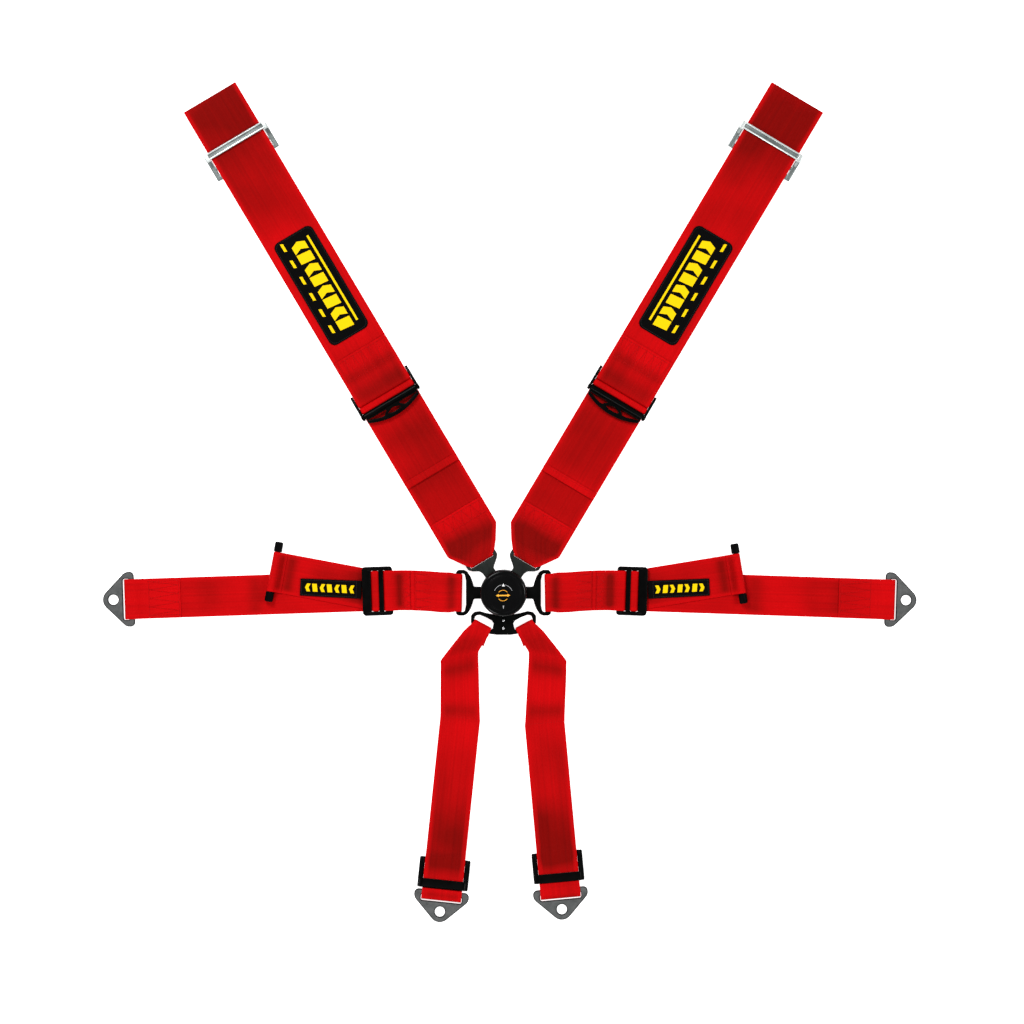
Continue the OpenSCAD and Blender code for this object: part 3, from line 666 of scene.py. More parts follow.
half_yoke = [
    (11.5, -16, 0), (11.5, -27.5, 2.5), (21.7, -25.6, 6), (30, -23.2, 5), (37.4, -24.3, 5), (41.2, -29, 4),
    (41.3, -38.0, 3), (38.0, -42.2, 3), (18, -52.0, 8), (9, -53.3, 8),
]
yoke_eye = [
    (12.4, -39.0, 2.2), (14.6, -35.3, 2), (22.5, -31.0, 6), (30.4, -28.0, 4), (35.2, -29.0, 3),
    (37.2, -34.8, 2), (14.6, -47.6, 2.2),
]
yoke_outline = [(-x, y, *r) for x, y, *r in half_yoke] + [(x, y, *r) for x, y, *r in reversed(half_yoke)]
yoke = weld("crotch_yoke", [
    press(yoke_outline, [yoke_eye, [(-x, y, r) for x, y, r in yoke_eye]], 8, 11, BUCKLE, black_steel, 0.9),
])
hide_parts("crotch_plate")
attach(yoke, "buckle")

lock = weld("crotch_lock", [
    press(block(-2.5, 2.5, -48, -32, 1.8), [], 11, 12.6, BUCKLE, black_steel, 0.5),
])
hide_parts("crotch_lock_bar")
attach(lock, "buckle")

rivet_tree, rivet_in, rivet_out = tree_with("rivet heads", [
    ("Size", "NodeSocketVector"), ("Metal", "NodeSocketMaterial"),
])
rivet_at = grow(rivet_tree, "GeometryNodeMeshToPoints", {"Mesh": rivet_in.outputs["Mesh"]})
rivet = grow(rivet_tree, "GeometryNodeMeshUVSphere", {"Segments": 20, "Rings": 10, "Radius": 1.0})
riveted = grow(rivet_tree, "GeometryNodeInstanceOnPoints", {
    "Points": rivet_at.outputs[0], "Instance": rivet.outputs[0], "Scale": rivet_in.outputs["Size"],
})
set_rivets = grow(rivet_tree, "GeometryNodeRealizeInstances", {"Geometry": riveted.outputs[0]})
rivet_metal = grow(rivet_tree, "GeometryNodeSetMaterial",
                   {"Geometry": set_rivets.outputs[0], "Material": rivet_in.outputs["Metal"]})
rivet_tree.links.new(rivet_metal.outputs[0], rivet_out.inputs[0])
rivet_spots = bpy.data.meshes.new("rivets")
rivet_spots.from_pydata([BUCKLE @ Vector((0, y, 12.6)) for y in (-35, -45)], [], [])
rivets = grown("crotch_lock_rivets", rivet_spots, rivet_tree, {
    "Size": (0.0017, 0.0017, 0.0008), "Metal": bright_steel,
})
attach(rivets, "buckle")

# ---- Woven labels ----
# Black woven polyester with a merrowed border, and yellow blocks woven in as a plain pattern:
# long ones sewn flat on the shoulder straps, short ones round the release tabs.

label_web = new_finish("black label weave", {"Roughness": 0.7, "Specular IOR Level": 0.02})
label_rib, label_bump = weave_bump(label_web, 0.0011, 0.0016, 0.5)[:2]
label_tone = step(label_web, "MapRange", {0: label_rib, 1: -0.8, 2: 0.8, 3: 0.0, 4: 1.0}).outputs[0]
label_dye = step(label_web, "Mix", {
    0: label_tone, 6: (0.0008, 0.0008, 0.0008, 1), 7: (0.0035, 0.0035, 0.0035, 1),
}, data_type="RGBA").outputs[2]
to_shader(label_web, "Base Color", label_dye)
to_shader(label_web, "Normal", label_bump.outputs[0])

yellow_web = new_finish("yellow weave", {"Roughness": 0.6, "Specular IOR Level": 0.05})
yellow_spot = step(yellow_web, "TexCoord").outputs["Object"]
satin_rows = step(yellow_web, "TexWave", {
    "Vector": yellow_spot, "Scale": 420.0, "Distortion": 0.6, "Detail": 1.0,
}, bands_direction="DIAGONAL").outputs["Fac"]
yellow_dye = step(yellow_web, "Mix", {0: satin_rows, 6: (0.68, 0.44, 0.001, 1), 7: (0.84, 0.60, 0.001, 1)},
                  data_type="RGBA").outputs[2]
to_shader(yellow_web, "Base Color", yellow_dye)
to_shader(yellow_web, "Normal",
          step(yellow_web, "Bump", {"Strength": 0.4, "Distance": 0.0001, "Height": satin_rows}).outputs[0])


def height_on(line, extra):
    """How high a side line is at a distance along, plus extra."""
    def level(x):
        for (x0, z0), (x1, z1) in zip(line, line[1:]):
            if x <= x1:
                return z0 + (z1 - z0) * max(0.0, x - x0) / (x1 - x0) + extra
        return line[-1][1] + extra
    return level


def slanted(x0, x1, y0, y1, lean):
    """A leaning block of a woven pattern."""
    return [(x0, y0), (x1, y0), (x1 + lean, y1), (x0 + lean, y1)]


def chevron(x0, x1, y0, y1, point):
    """An arrowhead block of a woven pattern."""
    mid = (y0 + y1) / 2
    return [(x0, y0), (x1, y0), (x1 + point, mid), (x1, y1), (x0, y1), (x0 + point, mid)]


# ---- Shoulder straps ----
# 76 mm webbing folded narrow round the tongue and box sewn, then run under the adjuster.
# The upper strap is sewn into the adjuster's far bar and threaded through the three-bar slide.

SHOULDER_AT = 281  # the lever bar's distance from the buckle's middle, mm
SHOULDER_LEAN = 30.7  # degrees from straight up
TONGUE_LEAN = 34.8
SLIDE_RIDGE = 0.0079  # above this height in metres the slide's faces take the brighter zinc
for side, hand, tail_end, sewn_to in ((-1, "left", 174, 120), (1, "right", 158, 114)):
    arm = row_place(side, (0, 0), 90 - SHOULDER_LEAN, -1)

    # Tongue: pressed steel, its stem turned towards the buckle's middle and its eye square to the web
    def stem(r, w):
        a = math.radians(TONGUE_LEAN - SHOULDER_LEAN)
        return (r * math.cos(a) - w * math.sin(a), r * math.sin(a) + w * math.cos(a))

    tongue_outline = [
        (*stem(14, 4), 1), (*stem(20, 7.75), 1.5), (*stem(34.5, 7.75), 2), (38.6, 12.3, 4), (43.0, 19.8, 5),
        (47.2, 24.0, 3), (54.5, 24.2, 4), (56.9, 20.0, 3), (56.9, -14.0, 3), (54.6, -18.4, 4),
        (46.2, -18.5, 5), (42.2, -15.2, 4), (37.0, -9.0, 4), (*stem(33.0, -7.75), 2),
        (*stem(20, -7.75), 1.5), (*stem(14, -4), 1),
    ]
    tongue_eye = [(46.9, -13.0, 1.0), (51.1, -14.4, 1.8), (51.1, 20.4, 1.8), (46.9, 19.6, 1.0)]
    latch_hole = round_hole(*stem(20, 0), 2.9)
    tongue = weld("shoulder_tongue_plate_" + hand, [
        press(tongue_outline, [tongue_eye, latch_hole], 8, 11, arm, satin_steel, 0.7),
    ])
    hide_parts("shoulder_tongue_" + hand)
    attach(tongue, "shoulder_arm_" + hand)

    # Lower web: folded narrow round the tongue's bar, box sewn, then flat under the adjuster
    def fold_edges(x):
        outer = [(40, 19.0), (49.5, 19.6), (51, 22), (74, 38.1), (400, 38.1)]
        inner = [(40, 12.6), (50, 13.6), (53, 18), (63, 26), (82, 38.1), (400, 38.1)]
        return -height_on(inner, 0)(x), height_on(outer, 0)(x)

    lower = sew_strap("shoulder_lower_webbing_" + hand, [
        (335, 0.9), (90, 0.9, 30), (63, 6.7, 10), (47.7, 6.7, 2.8), (47.7, 12.3, 2.8), (60, 12.3, 12),
        (94, 2.15, 30), (sewn_to, 2.15),
    ], SHOULDER_WEB, arm, fold_edges, longest=3.0,
        # painted shade: bands along this strap (along, spread, amount) where its folds and creases shade it
        painted_shade_at=[(322, 18, 0.9), (286, 20, 0.55), (205, 30, 0.5), (160, 26, 0.55), (95, 20, 0.25)])
    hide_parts("shoulder_lower_web_" + hand)
    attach(lower, "shoulder_arm_" + hand)
    sew("shoulder_lower_stitches_" + hand, zigzag(sewn_to - 20, sewn_to - 3, 33, 2.86, 10),
        arm, "shoulder_arm_" + hand)

    # Tail: the same web after it has turned over the adjuster's bar, with a rolled hem at its end
    tail = sew_strap("shoulder_pull_tail_" + hand, [
        (293.0, 1.7), (293.0, 8.85, 2.2), (285.5, 8.85, 2.2), (285.5, 2.4, 1.4), (tail_end + 0.9, 2.4, 0.9),
        (tail_end + 0.9, 3.75, 0.9), (tail_end + 10, 3.65),
    ], SHOULDER_WEB, arm, longest=3.5,
        # painted shade: bands along this strap (along, spread, amount) where its folds and creases shade it
        painted_shade_at=[(70, 30, 0.5), (120, 24, 0.35), (26, 9, 0.6)])
    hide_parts("shoulder_tail_" + hand)
    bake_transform(tail)
    sew("shoulder_hem_stitches_" + hand, [
        [(tail_end + 8, -36, 4.3), (tail_end + 8, 36, 4.3)],
    ], arm, "shoulder_tail_" + hand)

    # Adjuster frame: two side cheeks joined by the bar that carries the upper strap
    cheek = [(276.8, 3.7, 1.5), (290, 3.7, 2), (311, 3.9, 1.5), (311, 6.0, 1.5), (300, 9.6, 8), (286, 11, 3),
             (276.8, 10.6, 2.5)]
    cheeks = []
    for edge in (-1, 1):
        level_at = sorted((edge * 38.3, edge * 41.7))
        cheeks.append(press(cheek, [round_hole(281, 7.4, 2.55, 24)], level_at[0], level_at[1],
                            arm @ UPRIGHT, black_steel, 0.9))
    cheeks.append(press([(296.8, 4.8, 1.6), (303.5, 4.8, 1.6), (303.5, 8.3, 1.6), (296.8, 8.3, 1.6)], [],
                        -39.3, 39.3, arm @ UPRIGHT, black_steel, 0.3))
    adjuster = weld("shoulder_adjuster_cheeks_" + hand, cheeks)
    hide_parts("shoulder_adjuster_frame_" + hand)
    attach(adjuster, "shoulder_adjuster_" + hand)

    # Lever: a turning bar with a bowed rim on it, braced by two struts
    rim_line = []
    for k in range(25):
        t = -37.2 + 74.4 * k / 24
        rim_line.append((64.3 - math.sqrt(82.5 ** 2 - t * t), t))
    lever_outline = [(2.2, 37.2, 1.5), (2.2, -37.2, 1.5)] + [(x, t, 0.0) for x, t in rim_line]
    side_eye = [(-5.5, 8.2, 1.0), (-5.5, 34.8, 0.6), (-6.2, 35.2, 0.6), (-11.0, 19.0, 2), (-11.3, 15.0, 1.6)]
    middle_eye = [(-7.6, 2.2, 1.0), (-7.6, -2.2, 1.0), (-11.0, -11.0, 1.0), (-12.8, -4.0, 3), (-12.8, 4.0, 3),
                  (-11.0, 11.0, 1.0)]
    lever_arm = arm @ Matrix.Translation((SHOULDER_AT, 0, 7.4))
    bar_half = [(3.75, 37.6), (3.75, -37.6), (3.2, -38.1), (2.5, -38.15), (2.5, -42.1), (0, -42.1),
                (0, 42.1), (2.5, 42.1), (2.5, 38.15), (3.2, 38.1)]
    along_bar = lever_arm @ Matrix.Rotation(math.radians(90), 4, "X")
    lever = weld("shoulder_lever_rim_" + hand, [
        press(lever_outline, [side_eye, [(x, -y, r) for x, y, r in reversed(side_eye)], middle_eye],
              -1.5, 1.1, lever_arm, black_steel, 0.55),
        turn_on_lathe(bar_half, along_bar, black_steel, 28),
    ])
    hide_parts("shoulder_adjuster_lever_" + hand)
    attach(lever, "shoulder_lever_" + hand)

    # Upper web: sewn back on itself round the adjuster's far bar, up to the slide and its free end
    upper = sew_strap("shoulder_upper_webbing_" + hand, [
        (731, 0.9), (714, 4.0, 60), (598, 4.2, 60), (560, 0.9, 60), (450, 0.9, 60), (405, 3.9, 60),
        (294.4, 3.9, 2.5), (294.4, 9.2, 2.5), (305.5, 9.2, 12), (323, 5.2, 14), (359, 5.15),
    ], SHOULDER_WEB, arm, longest=4.0,
        # painted shade: bands along this strap (along, spread, amount) where its folds and creases shade it
        painted_shade_at=[(18, 55, 0.75), (85, 45, 0.55), (160, 40, 0.28), (395, 24, 0.4), (452, 15, 0.65),
                    (478, 8, 0.5)])
    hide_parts("shoulder_upper_web_" + hand)
    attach(upper, "shoulder_adjuster_" + hand)
    sew("shoulder_upper_stitches_" + hand, zigzag(329, 356, 34, 5.83, 12), arm, "shoulder_adjuster_" + hand)

    # Label: a long black patch on top, with a stripe, leaning blocks and a row of small marks
    patch_line = [(378, 5.02), (405, 5.02), (450, 2.02), (528, 2.02)]

    def patch_edges(x):
        from_end = min(x - 378, 528 - x)
        cut = 8 - math.sqrt(max(0.0, 64 - (8 - min(8, from_end)) ** 2))
        return -28 + cut, 28 - cut

    patch_corners = [378.05, 378.4, 379, 380, 381.5, 383.5, 386]
    patch_run = sorted(patch_corners + [906 - x for x in patch_corners])
    patch_up = height_on(patch_line, 0)
    patch = sew_strap("shoulder_label_" + hand,
                      [(x, patch_up(x)) for x in sorted(patch_run + [405, 450])],
                      56, arm, patch_edges, thick=1.0, radius=0, longest=4, finish=label_web, settle=0)
    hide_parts("shoulder_patch_" + hand)
    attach(patch, "shoulder_adjuster_" + hand)
    patch_top = height_on(patch_line, 0.5)
    marks = [(slanted(392 + 2.9 * k, 394.9 + 2.9 * k, -18.6, -15.8, 0), yellow_web) for k in range(43)]
    for k in range(8):
        x = 389 + 16.2 * k
        shape = chevron(x, x + 10.4, -11.0, 8.0, 4.0) if k % 2 else slanted(x, x + 13.0, -11.0, 8.0, 2.0)
        marks.append((shape, yellow_web))
    marks += [(slanted(392 + 24 * k, 403 + 24 * k, 15.0, 18.6, 1.5), yellow_web) for k in range(6)]
    woven = print_marks("shoulder_label_pattern_" + hand, marks, patch_top, arm, "shoulder_adjuster_" + hand)
    border = rounded_line(block(379.8, 526.2, -26.2, 26.2, 8.2), 0, closed=True)
    hem = [(p.x, p.y, patch_top(p.x) + 0.05) for p in in_steps(border + border[:1], 5)]
    sew("shoulder_label_stitches_" + hand, [hem], arm, "shoulder_adjuster_" + hand,
        2.4, (1.1, 0.35, 0.22), black_thread)

    # Slide: three zinc-plated bars and two joggled cheeks; the web passes under the top bar
    slide_arm = arm @ Matrix.Translation((633, 0, 0))
    joggle = [(0, 0.3, 1.4), (20.5, 0.3, 4), (27.5, 5.2, 4), (37, 5.2, 1.4), (37, 8.2, 1.4), (26.5, 8.2, 4),
              (19.5, 3.3, 4), (0, 3.3, 1.4)]
    ridge = [(28, 5.2, 0.6), (37, 5.2, 0.6), (37, 7.9, 0.6), (36.1, 8.5, 0.5), (35.0, 8.3, 0.5),
             (34.2, 7.3, 0.5), (30.8, 7.3, 0.5), (30.0, 8.3, 0.5), (28.9, 8.5, 0.5), (28, 7.9, 0.6)]
    slide = weld("shoulder_slide_rails_" + hand, [
        press(joggle, [], 39.0, 45.0, slide_arm @ UPRIGHT, zinc, 1.0),
        press(joggle, [], -45.0, -39.0, slide_arm @ UPRIGHT, zinc, 1.0),
        press(ridge, [], -40.5, 40.5, slide_arm @ UPRIGHT, zinc, 0.25),
        press(block(0, 7, -40.5, 40.5, 1), [], 0.3, 3.3, slide_arm, zinc, 0.9),
        press(block(13, 18, -40.5, 40.5, 1), [], 0.3, 3.3, slide_arm, zinc, 0.9),
    ])
    # faces above SLIDE_RIDGE take the brighter zinc
    slide.data.materials.append(zinc_upper_faces)
    for face in slide.data.polygons:
        if face.center.z > SLIDE_RIDGE:
            face.material_index = len(slide.data.materials) - 1
    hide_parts("shoulder_slide_" + hand)
    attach(slide, "shoulder_slide_" + hand)

    finish_node("shoulder_adjuster_bar_" + hand, black_steel)

# ---- Anchor plates ----
# Pressed 3 mm steel in grey phosphate, with painted shade on its rounded edges and walls. The web is sewn
# through the slot, and a bolt through the hole fixes the plate to the floor.


def anchor(name, place, low, body, node):
    """An anchor plate with its bolt hole at the place's origin and its web slot behind it."""
    outline = [(-26.6, 34.8, 7), (-15.6, 34.8, 10), (18.9, 0, 13.4), (-15.6, -34.8, 10), (-26.6, -34.8, 7)]
    mesh = press(outline, [round_hole(0, 0, 6.4, 48), block(-20.5, -12.5, -26.1, 26.1, 2.5)],
                 low, low + 3, place, phosphate, 1.2)
    # painted shade: every face that is not flat on top or bottom takes the dark finish
    mesh.materials.append(painted_edge_shade)
    for face in mesh.polygons:
        if abs(face.normal.z) < 0.98:
            face.material_index = 1
    piece = weld(name, [mesh])
    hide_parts(node)
    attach(piece, body)


# ---- Lap straps ----
# A short web is sewn between the tongue and the adjuster. The long web turns over the adjuster's
# loose bar: one end goes out to the anchor plate, the other is the pull tail with its rod.

LAP_DROOP = 1.9  # degrees that the outer lap straps drop
for side, hand, at, hole, rod_at, tail_turn in (
    (-1, "left", 159.6, 335.3, 133.5, 12.5), (1, "right", 162.9, 347.8, 137.4, 11.2),
):
    arm = row_place(side)
    outer = row_place(side, (at, 2), -LAP_DROOP)
    tail_arm = row_place(side, (at, 2), -LAP_DROOP + tail_turn)

    # Tongue: a D-shaped eye with its corners carried forward over the edges of the web
    half_tongue = [
        (14, 4, 1), (20, 7.75, 1.5), (37.6, 7.75, 2.5), (39.0, 13.5, 8), (41.6, 20.5, 8), (45.8, 27.0, 5),
        (50.5, 29.0, 4), (57.5, 29.0, 3.5), (60.2, 26.0, 3),
    ]
    half_eye = [(47.5, 15.5, 8), (49.2, 23.6, 3), (53.9, 24.8, 1.6)]
    tongue = weld("lap_tongue_plate_" + hand, [
        press(mirrored(half_tongue), [mirrored(half_eye), round_hole(20, 0, 2.9, 32)],
              8, 11, arm, black_steel, 0.9),
    ])
    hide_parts("lap_tongue_" + hand)
    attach(tongue, "lap_arm_" + hand)

    # Short web: one length, doubled and sewn where its ends meet, leaning to meet the adjuster squarely
    def short_edges(x):
        half = height_on([(50, 23.7), (60, 23.9), (68, LAP_WEB / 2), (200, LAP_WEB / 2)], 0)(x + at)
        return -half, half

    bar_in = at - 8.8
    short_line = [
        (112, 5.2), (92, 5.2, 20), (64, 12.3, 20), (52.8, 12.3, 2.8), (52.8, 6.7, 2.8), (62, 6.7, 12),
        (84, 3.9, 12), (bar_in, 3.9, 2.6), (bar_in, 9.15, 2.6), (at - 17, 9.15, 6), (at - 28, 5.2, 8),
        (118, 5.2),
    ]
    lean_to = height_on([(-80, 2.96), (-28, 0), (0, 0)], 0)
    short = sew_strap("lap_short_webbing_" + hand, [(x - at, *rest) for x, *rest in short_line],
                      LAP_WEB, outer, short_edges, longest=3.0, swing=lean_to,
        # painted shade: bands along this strap (along, spread, amount) where its folds and creases shade it
        painted_shade_at=[(47, 6.5, 0.75), (184 + (at - 159.6), 5.5, 0.95)])
    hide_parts("lap_short_web_" + hand)
    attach(short, "lap_arm_" + hand)
    seams = zigzag(76 - at, 111 - at, 21.5, 5.95, 8) + zigzag(118.5 - at, 127.5 - at, 21.5, 5.95, 8)
    sew("lap_short_stitches_" + hand, [
        [Matrix.Rotation(math.radians(lean_to(spot[0])), 3, "Z") @ Vector(spot) for spot in line]
        for line in seams
    ], outer, "lap_arm_" + hand)

    # Adjuster: a one-piece frame with two fixed bars inwards and a broad bar outwards
    frame_outline = [(-19.3, 31.0, 4), (-19.3, -31.0, 4), (19.4, -31.0, 4.5), (19.4, 31.0, 4.5)]
    cheek_outline = [(-16, 3.7, 1.5), (16, 3.7, 1.5), (16, 7.6, 2.5), (8, 9.2, 6), (-12, 9.3, 4),
                     (-16, 8.3, 2)]
    adjuster = weld("lap_adjuster_body_" + hand, [
        press(frame_outline, [
            block(-10.1, -7.3, -25.9, 25.9, 1), block(-1.95, 8.5, -25.9, 25.9, 1.2),
        ], 4.85, 8.25, outer, black_steel, 0.75),
        press(cheek_outline, [], 26.1, 30.6, outer @ UPRIGHT, black_steel, 1.2),
        press(cheek_outline, [], -30.6, -26.1, outer @ UPRIGHT, black_steel, 1.2),
    ])
    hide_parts("lap_adjuster_frame_" + hand)
    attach(adjuster, "lap_arm_" + hand)
    finish_node("lap_adjuster_bar_" + hand, black_steel)

    # Long web: flat under the adjuster, out to the anchor plate, through its slot and back to be sewn
    long_web = sew_strap("lap_long_webbing_" + hand, [
        (-12, 0.9), (hole - 14.6, 0.9, 2.3), (hole - 14.6, 5.7, 2.3), (hole - 27.6, 5.7, 8),
        (hole - 37, 2.16, 8), (hole - 85, 2.15),
    ], LAP_WEB, outer, longest=4.0,
        # painted shade: bands along this strap (along, spread, amount) where its folds and creases shade it
        painted_shade_at=[(hole - 60, 26, 0.45), (168, 10, 0.45), (hole - 105, 14, 0.25)])
    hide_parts("lap_long_web_" + hand, "lap_anchor_loop_" + hand)
    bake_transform(long_web)
    sew("lap_anchor_stitches_" + hand, zigzag(hole - 83, hole - 45, 21.5, 2.86, 8), outer,
        "lap_strap_" + hand)
    anchor("lap_anchor_steel_" + hand, outer @ Matrix.Translation((hole, 0, 0)), 1.8, "lap_anchor_" + hand,
           "lap_anchor_plate_" + hand)

    # Pull tail: over the adjuster's loose bar, out over the long web, and sewn round its rod
    around = []
    for k in range(13):
        a = math.radians(-90 + 232 * k / 12)
        around.append((rod_at + 4.2 * math.cos(a), 7.1 + 4.2 * math.sin(a), 0))
    pull = sew_strap("lap_pull_webbing_" + hand, [
        (-1.3, 1.8), (-1.3, 8.75, 2.2), (7.0, 8.75, 2.4), (7.0, 2.4, 1.4), (rod_at - 14, 2.4, 10),
        *around, (rod_at - 10, 3.68, 3), (rod_at - 13, 3.66),
    ], LAP_WEB, outer, longest=3.5, swing=height_on([(7, 0), (17, tail_turn), (400, tail_turn)], 0),
        # painted shade: bands along this strap (along, spread, amount) where its folds and creases shade it
        painted_shade_at=[(34, 20, 0.55), (80, 20, 0.3), (rod_at - 8, 7, 0.7), (rod_at + 35, 5, 0.6)])
    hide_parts("lap_tail_" + hand)
    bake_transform(pull)
    sew("lap_pull_stitches_" + hand, [
        [(rod_at - 11.4, -22, 4.35), (rod_at - 11.4, 22, 4.35)],
    ], tail_arm, "lap_pull_tail_" + hand)

    # Rod: steel with a moulded cap pushed on each end
    rod_place = tail_arm @ Matrix.Translation((rod_at, 0, 7.1)) @ Matrix.Rotation(math.radians(90), 4, "X")
    cap = [(0, 25.9), (4.7, 25.9), (5.3, 26.5), (5.3, 36.4), (4.9, 37.8), (3.9, 38.4), (0, 38.5)]
    rod = weld("lap_rod_" + hand, [
        turn_on_lathe([(0, -37), (3.5, -37), (3.5, 37), (0, 37)], rod_place, black_steel, 28),
        turn_on_lathe(cap, rod_place, black_plastic, 32),
        turn_on_lathe([(r, -z) for r, z in cap], rod_place, black_plastic, 32),
    ])
    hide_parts("lap_pull_rod_" + hand)
    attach(rod, "lap_pull_tail_" + hand)

    # Release tab: black webbing sewn into the adjuster's outer bar, with a woven pattern on it
    tab_arm = outer @ Matrix.Translation((0, 0.6, 0)) @ Matrix.Rotation(math.radians(4.5), 4, "Z")
    tab = sew_strap("lap_tab_webbing_" + hand, [(20.6, 6.0), (26.5, 4.02, 8), (98.4, 4.0)], 23, tab_arm,
                    lambda x: (-11.5 + (x - 20) * 0.008, 11.5 - (x - 20) * 0.008),
                    longest=3, finish=label_web, settle=0)
    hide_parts("lap_release_tab_" + hand)
    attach(tab, "lap_tab_" + hand)
    marks = []
    for k in range(7):
        x = 29.5 + 9.3 * k
        shape = chevron(x, x + 4.4, -5.0, 5.0, 2.4) if k % 2 == 0 else slanted(x, x + 6.0, -5.0, 5.0, 1.4)
        marks.append((shape, yellow_web))
    woven = print_marks("lap_tab_pattern_" + hand, marks, lambda x: 4.62, tab_arm, "lap_tab_" + hand)
    sew("lap_tab_stitches_" + hand, [
        [(27, -9.6, 4.64), (96.6, -9.2, 4.64), (96.6, 9.2, 4.64), (27, 9.6, 4.64), (27, -9.6, 4.64)],
    ], tab_arm, "lap_tab_" + hand, 2.4, (1.1, 0.35, 0.22), black_thread)

# ---- Crotch straps ----
# 51 mm webbing gathered through the yoke's eye, folded twice to turn downwards, and taken over
# the adjuster's bars. A short sewn loop carries the anchor plate below the adjuster.

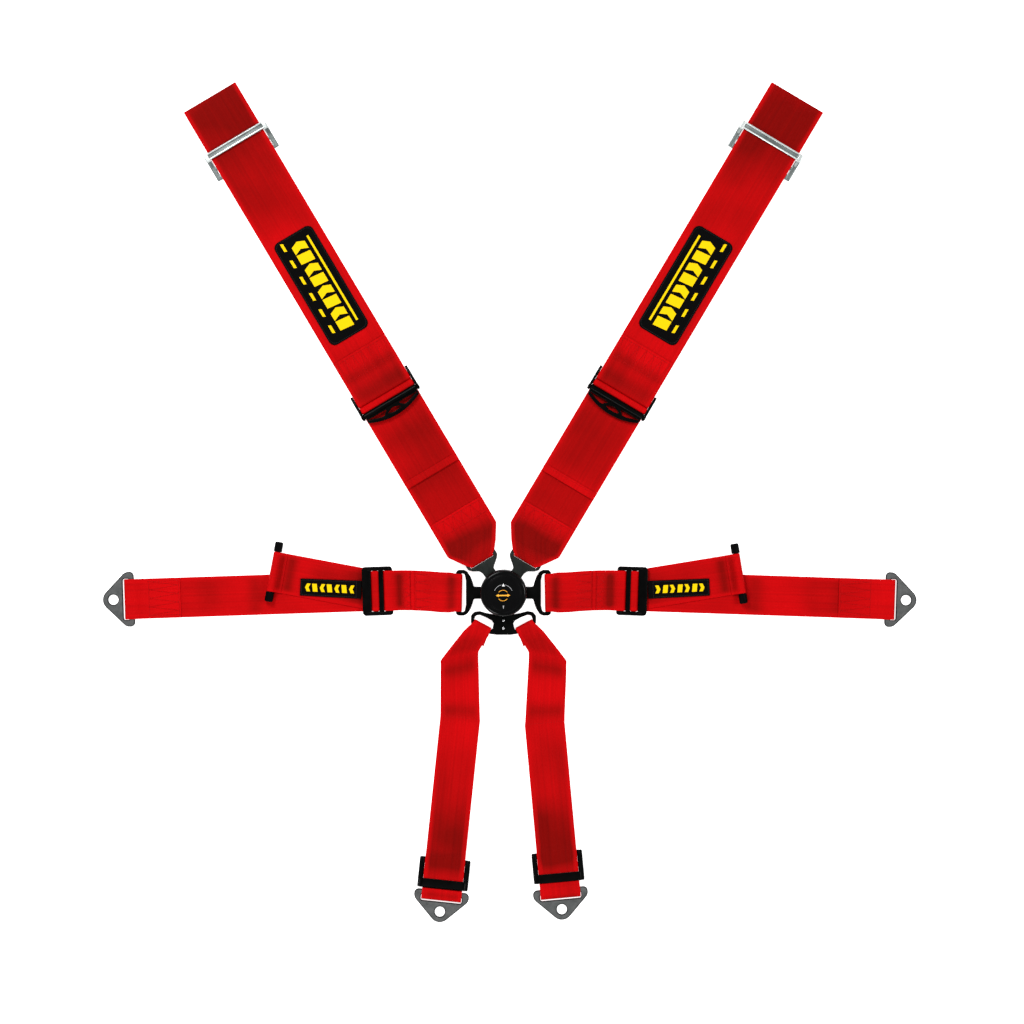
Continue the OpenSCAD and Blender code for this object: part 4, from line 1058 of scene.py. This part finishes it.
for side, hand, knee_x, knee_y, lean, mid, hole in (
    (-1, "left", 55.0, -160, 6.0, 197.6, 245.8), (1, "right", 52.3, -167, 5.3, 181.7, 235.4),
):
    yard = row_place(side)
    arm = row_place(side, (knee_x, knee_y), -90 + lean)
    down = yard.inverted() @ arm

    # Web: laid ring by ring, from the turned-under end, round the yoke, over both folds and down
    out_way = Vector((math.cos(math.radians(-62)), math.sin(math.radians(-62)), 0))
    across_way = Vector((-out_way.y, out_way.x, 0))
    eye_at = Vector((25, -39.8, 0))

    def at_eye(u, half_in, half_out, z, bow=0.0):
        low = eye_at + out_way * u - across_way * half_in + Vector((0, 0, z))
        high = eye_at + out_way * u + across_way * half_out + Vector((0, 0, z))
        return low, high

    stations = [at_eye(25, 13.2, 15.4, 4.7), at_eye(12, 11.6, 14.0, 6.4), at_eye(5, 11.4, 12.8, 6.7),
                at_eye(2.6, 11.4, 12.8, 6.75)]
    for k in range(1, 8):
        a = math.radians(-90 - 180 * k / 8)
        stations.append(at_eye(2.8 + 2.8 * math.cos(a), 11.4, 12.8, 9.5 + 2.8 * math.sin(a)))
    stations += [
        at_eye(2.8, 11.4, 12.8, 12.3), at_eye(7.5, 11.5, 14.4, 12.25),
        (Vector((19.0, -54.4, 11.2)), Vector((50.6, -48.6, 10.9))),
        (Vector((23.6, -61.4, 8.6)), Vector((59.8, -60.2, 8.2))),
        (Vector((28.0, -68.6, 6.2)), Vector((69.4, -72.4, 5.2))),
        (Vector((31.4, -74.2, 4.9)), Vector((78.4, -84.2, 3.5))),
        (Vector((31.9, -76.4, 4.3)), Vector((80.0, -87.2, 2.9))),
        (Vector((31.9, -80.4, 2.0)), Vector((79.8, -92.0, 1.3))),
        (Vector((31.7, -90.0, 1.0)), Vector((79.9, -100.0, 0.95))),
    ]
    fold_low, fold_high = stations[-1]
    knee_low = down @ Vector((0, -25.2, 0.9))
    knee_high = down @ Vector((0, 25.2, 0.9))
    for k in range(1, 14):
        share = k / 14
        lift = 0.75 * math.exp(-((share - 0.94) / 0.05) ** 2)
        low = fold_low.lerp(knee_low, share)
        high = fold_high.lerp(knee_high, share)
        stations.append((low + Vector((0, 0, lift)), high + Vector((0, 0, lift))))
    run_down = in_steps(rounded_line([
        (0, 0.95), (mid - 78, 0.9, 40), (mid - 52, 2.2, 30), (mid - 28, 2.5, 8), (mid - 21, 5.75, 4),
        (mid + 5.0, 6.0, 2.4), (mid + 7.3, 5.2, 1.2), (mid + 7.3, 1.0, 1.5), (mid - 24, 0.92, 9),
        (mid - 44, 0.92),
    ], 0), 3.5)
    half = LAP_WEB / 2
    for spot in run_down:
        stations.append((down @ Vector((spot.x, -half, spot.y)), down @ Vector((spot.x, half, spot.y))))
    rings, run = [], 0.0
    for i, (low, high) in enumerate(stations):
        before = stations[max(i - 1, 0)]
        after = stations[min(i + 1, len(stations) - 1)]
        ahead = (after[0] + after[1] - before[0] - before[1]).normalized()
        up = (high - low).normalized().cross(ahead).normalized()
        if i:
            run += ((low + high) / 2 - (before[0] + before[1]) / 2).length
        rings.append((low, high, -up, run))
    web = lay_web("crotch_webbing_" + hand, rings, yard, WEB, red_web,
                  # painted shade: bands along this strap (along, spread, amount) where its folds and creases
                  # shade it
                  [(62, 12, 0.5), (96, 10, 0.55), (150, 10, 0.55), (225, 30, 0.3), (run - 106, 44, 0.8),
                   (run - 76, 12, 0.6)])
    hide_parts("crotch_web_" + hand)
    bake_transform(web)
    sew("crotch_hem_stitches_" + hand, [
        [down @ Vector((x, y, 1.62)) for y in (-22, 22)] for x in (-5.5, -1.5)
    ], yard, "buckle")

    # Adjuster: a frame with a top bar under the web and a broad bottom bar in sight
    frame_at = arm @ Matrix.Translation((mid, 0, 0))
    cheek_outline = [(-19.4, 1.9, 1.4), (19.4, 1.9, 1.4), (19.4, 4.8, 2), (9, 7.2, 6), (-13, 7.3, 4),
                     (-19.4, 5.4, 2)]
    frame_outline = [(-19.4, 32.3, 4), (-19.4, -32.3, 4), (19.4, -32.3, 4.5), (19.4, 32.3, 4.5)]
    adjuster = weld("crotch_adjuster_body_" + hand, [
        press(frame_outline, [block(-12, 8.1, -25.55, 25.55, 0.3)], 1.85, 4.75, frame_at, black_steel, 0.7),
        press(cheek_outline, [], 26.5, 32.2, frame_at @ UPRIGHT, black_steel, 1.3),
        press(cheek_outline, [], -32.2, -26.5, frame_at @ UPRIGHT, black_steel, 1.3),
    ])
    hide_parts("crotch_adjuster_frame_" + hand)
    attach(adjuster, "crotch_adjuster_" + hand)
    finish_node("crotch_adjuster_bar_" + hand, black_steel)

    # Anchor loop: from under the bottom bar, through the plate's slot and back
    loop = sew_strap("crotch_anchor_webbing_" + hand, [
        (mid + 9, 0.92), (mid + 19, 0.95, 6), (hole - 25, 2.3, 6), (hole - 14.6, 2.4, 2.4),
        (hole - 14.6, 7.2, 2.4), (hole - 27, 7.2, 3), (mid + 20.2, 7.2 - 0.6 * (hole - mid - 47.2)),
    # painted shade: a band on this loop (along, spread, amount) where its fold shades it
    ], LAP_WEB, arm, longest=1.6, painted_shade_at=[(34, 3, 0.3)], settle=0)
    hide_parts("crotch_anchor_loop_" + hand)
    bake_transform(loop)
    anchor("crotch_anchor_steel_" + hand, arm @ Matrix.Translation((hole, 0, 0)), 3.3,
           "crotch_anchor_" + hand, "crotch_anchor_plate_" + hand)
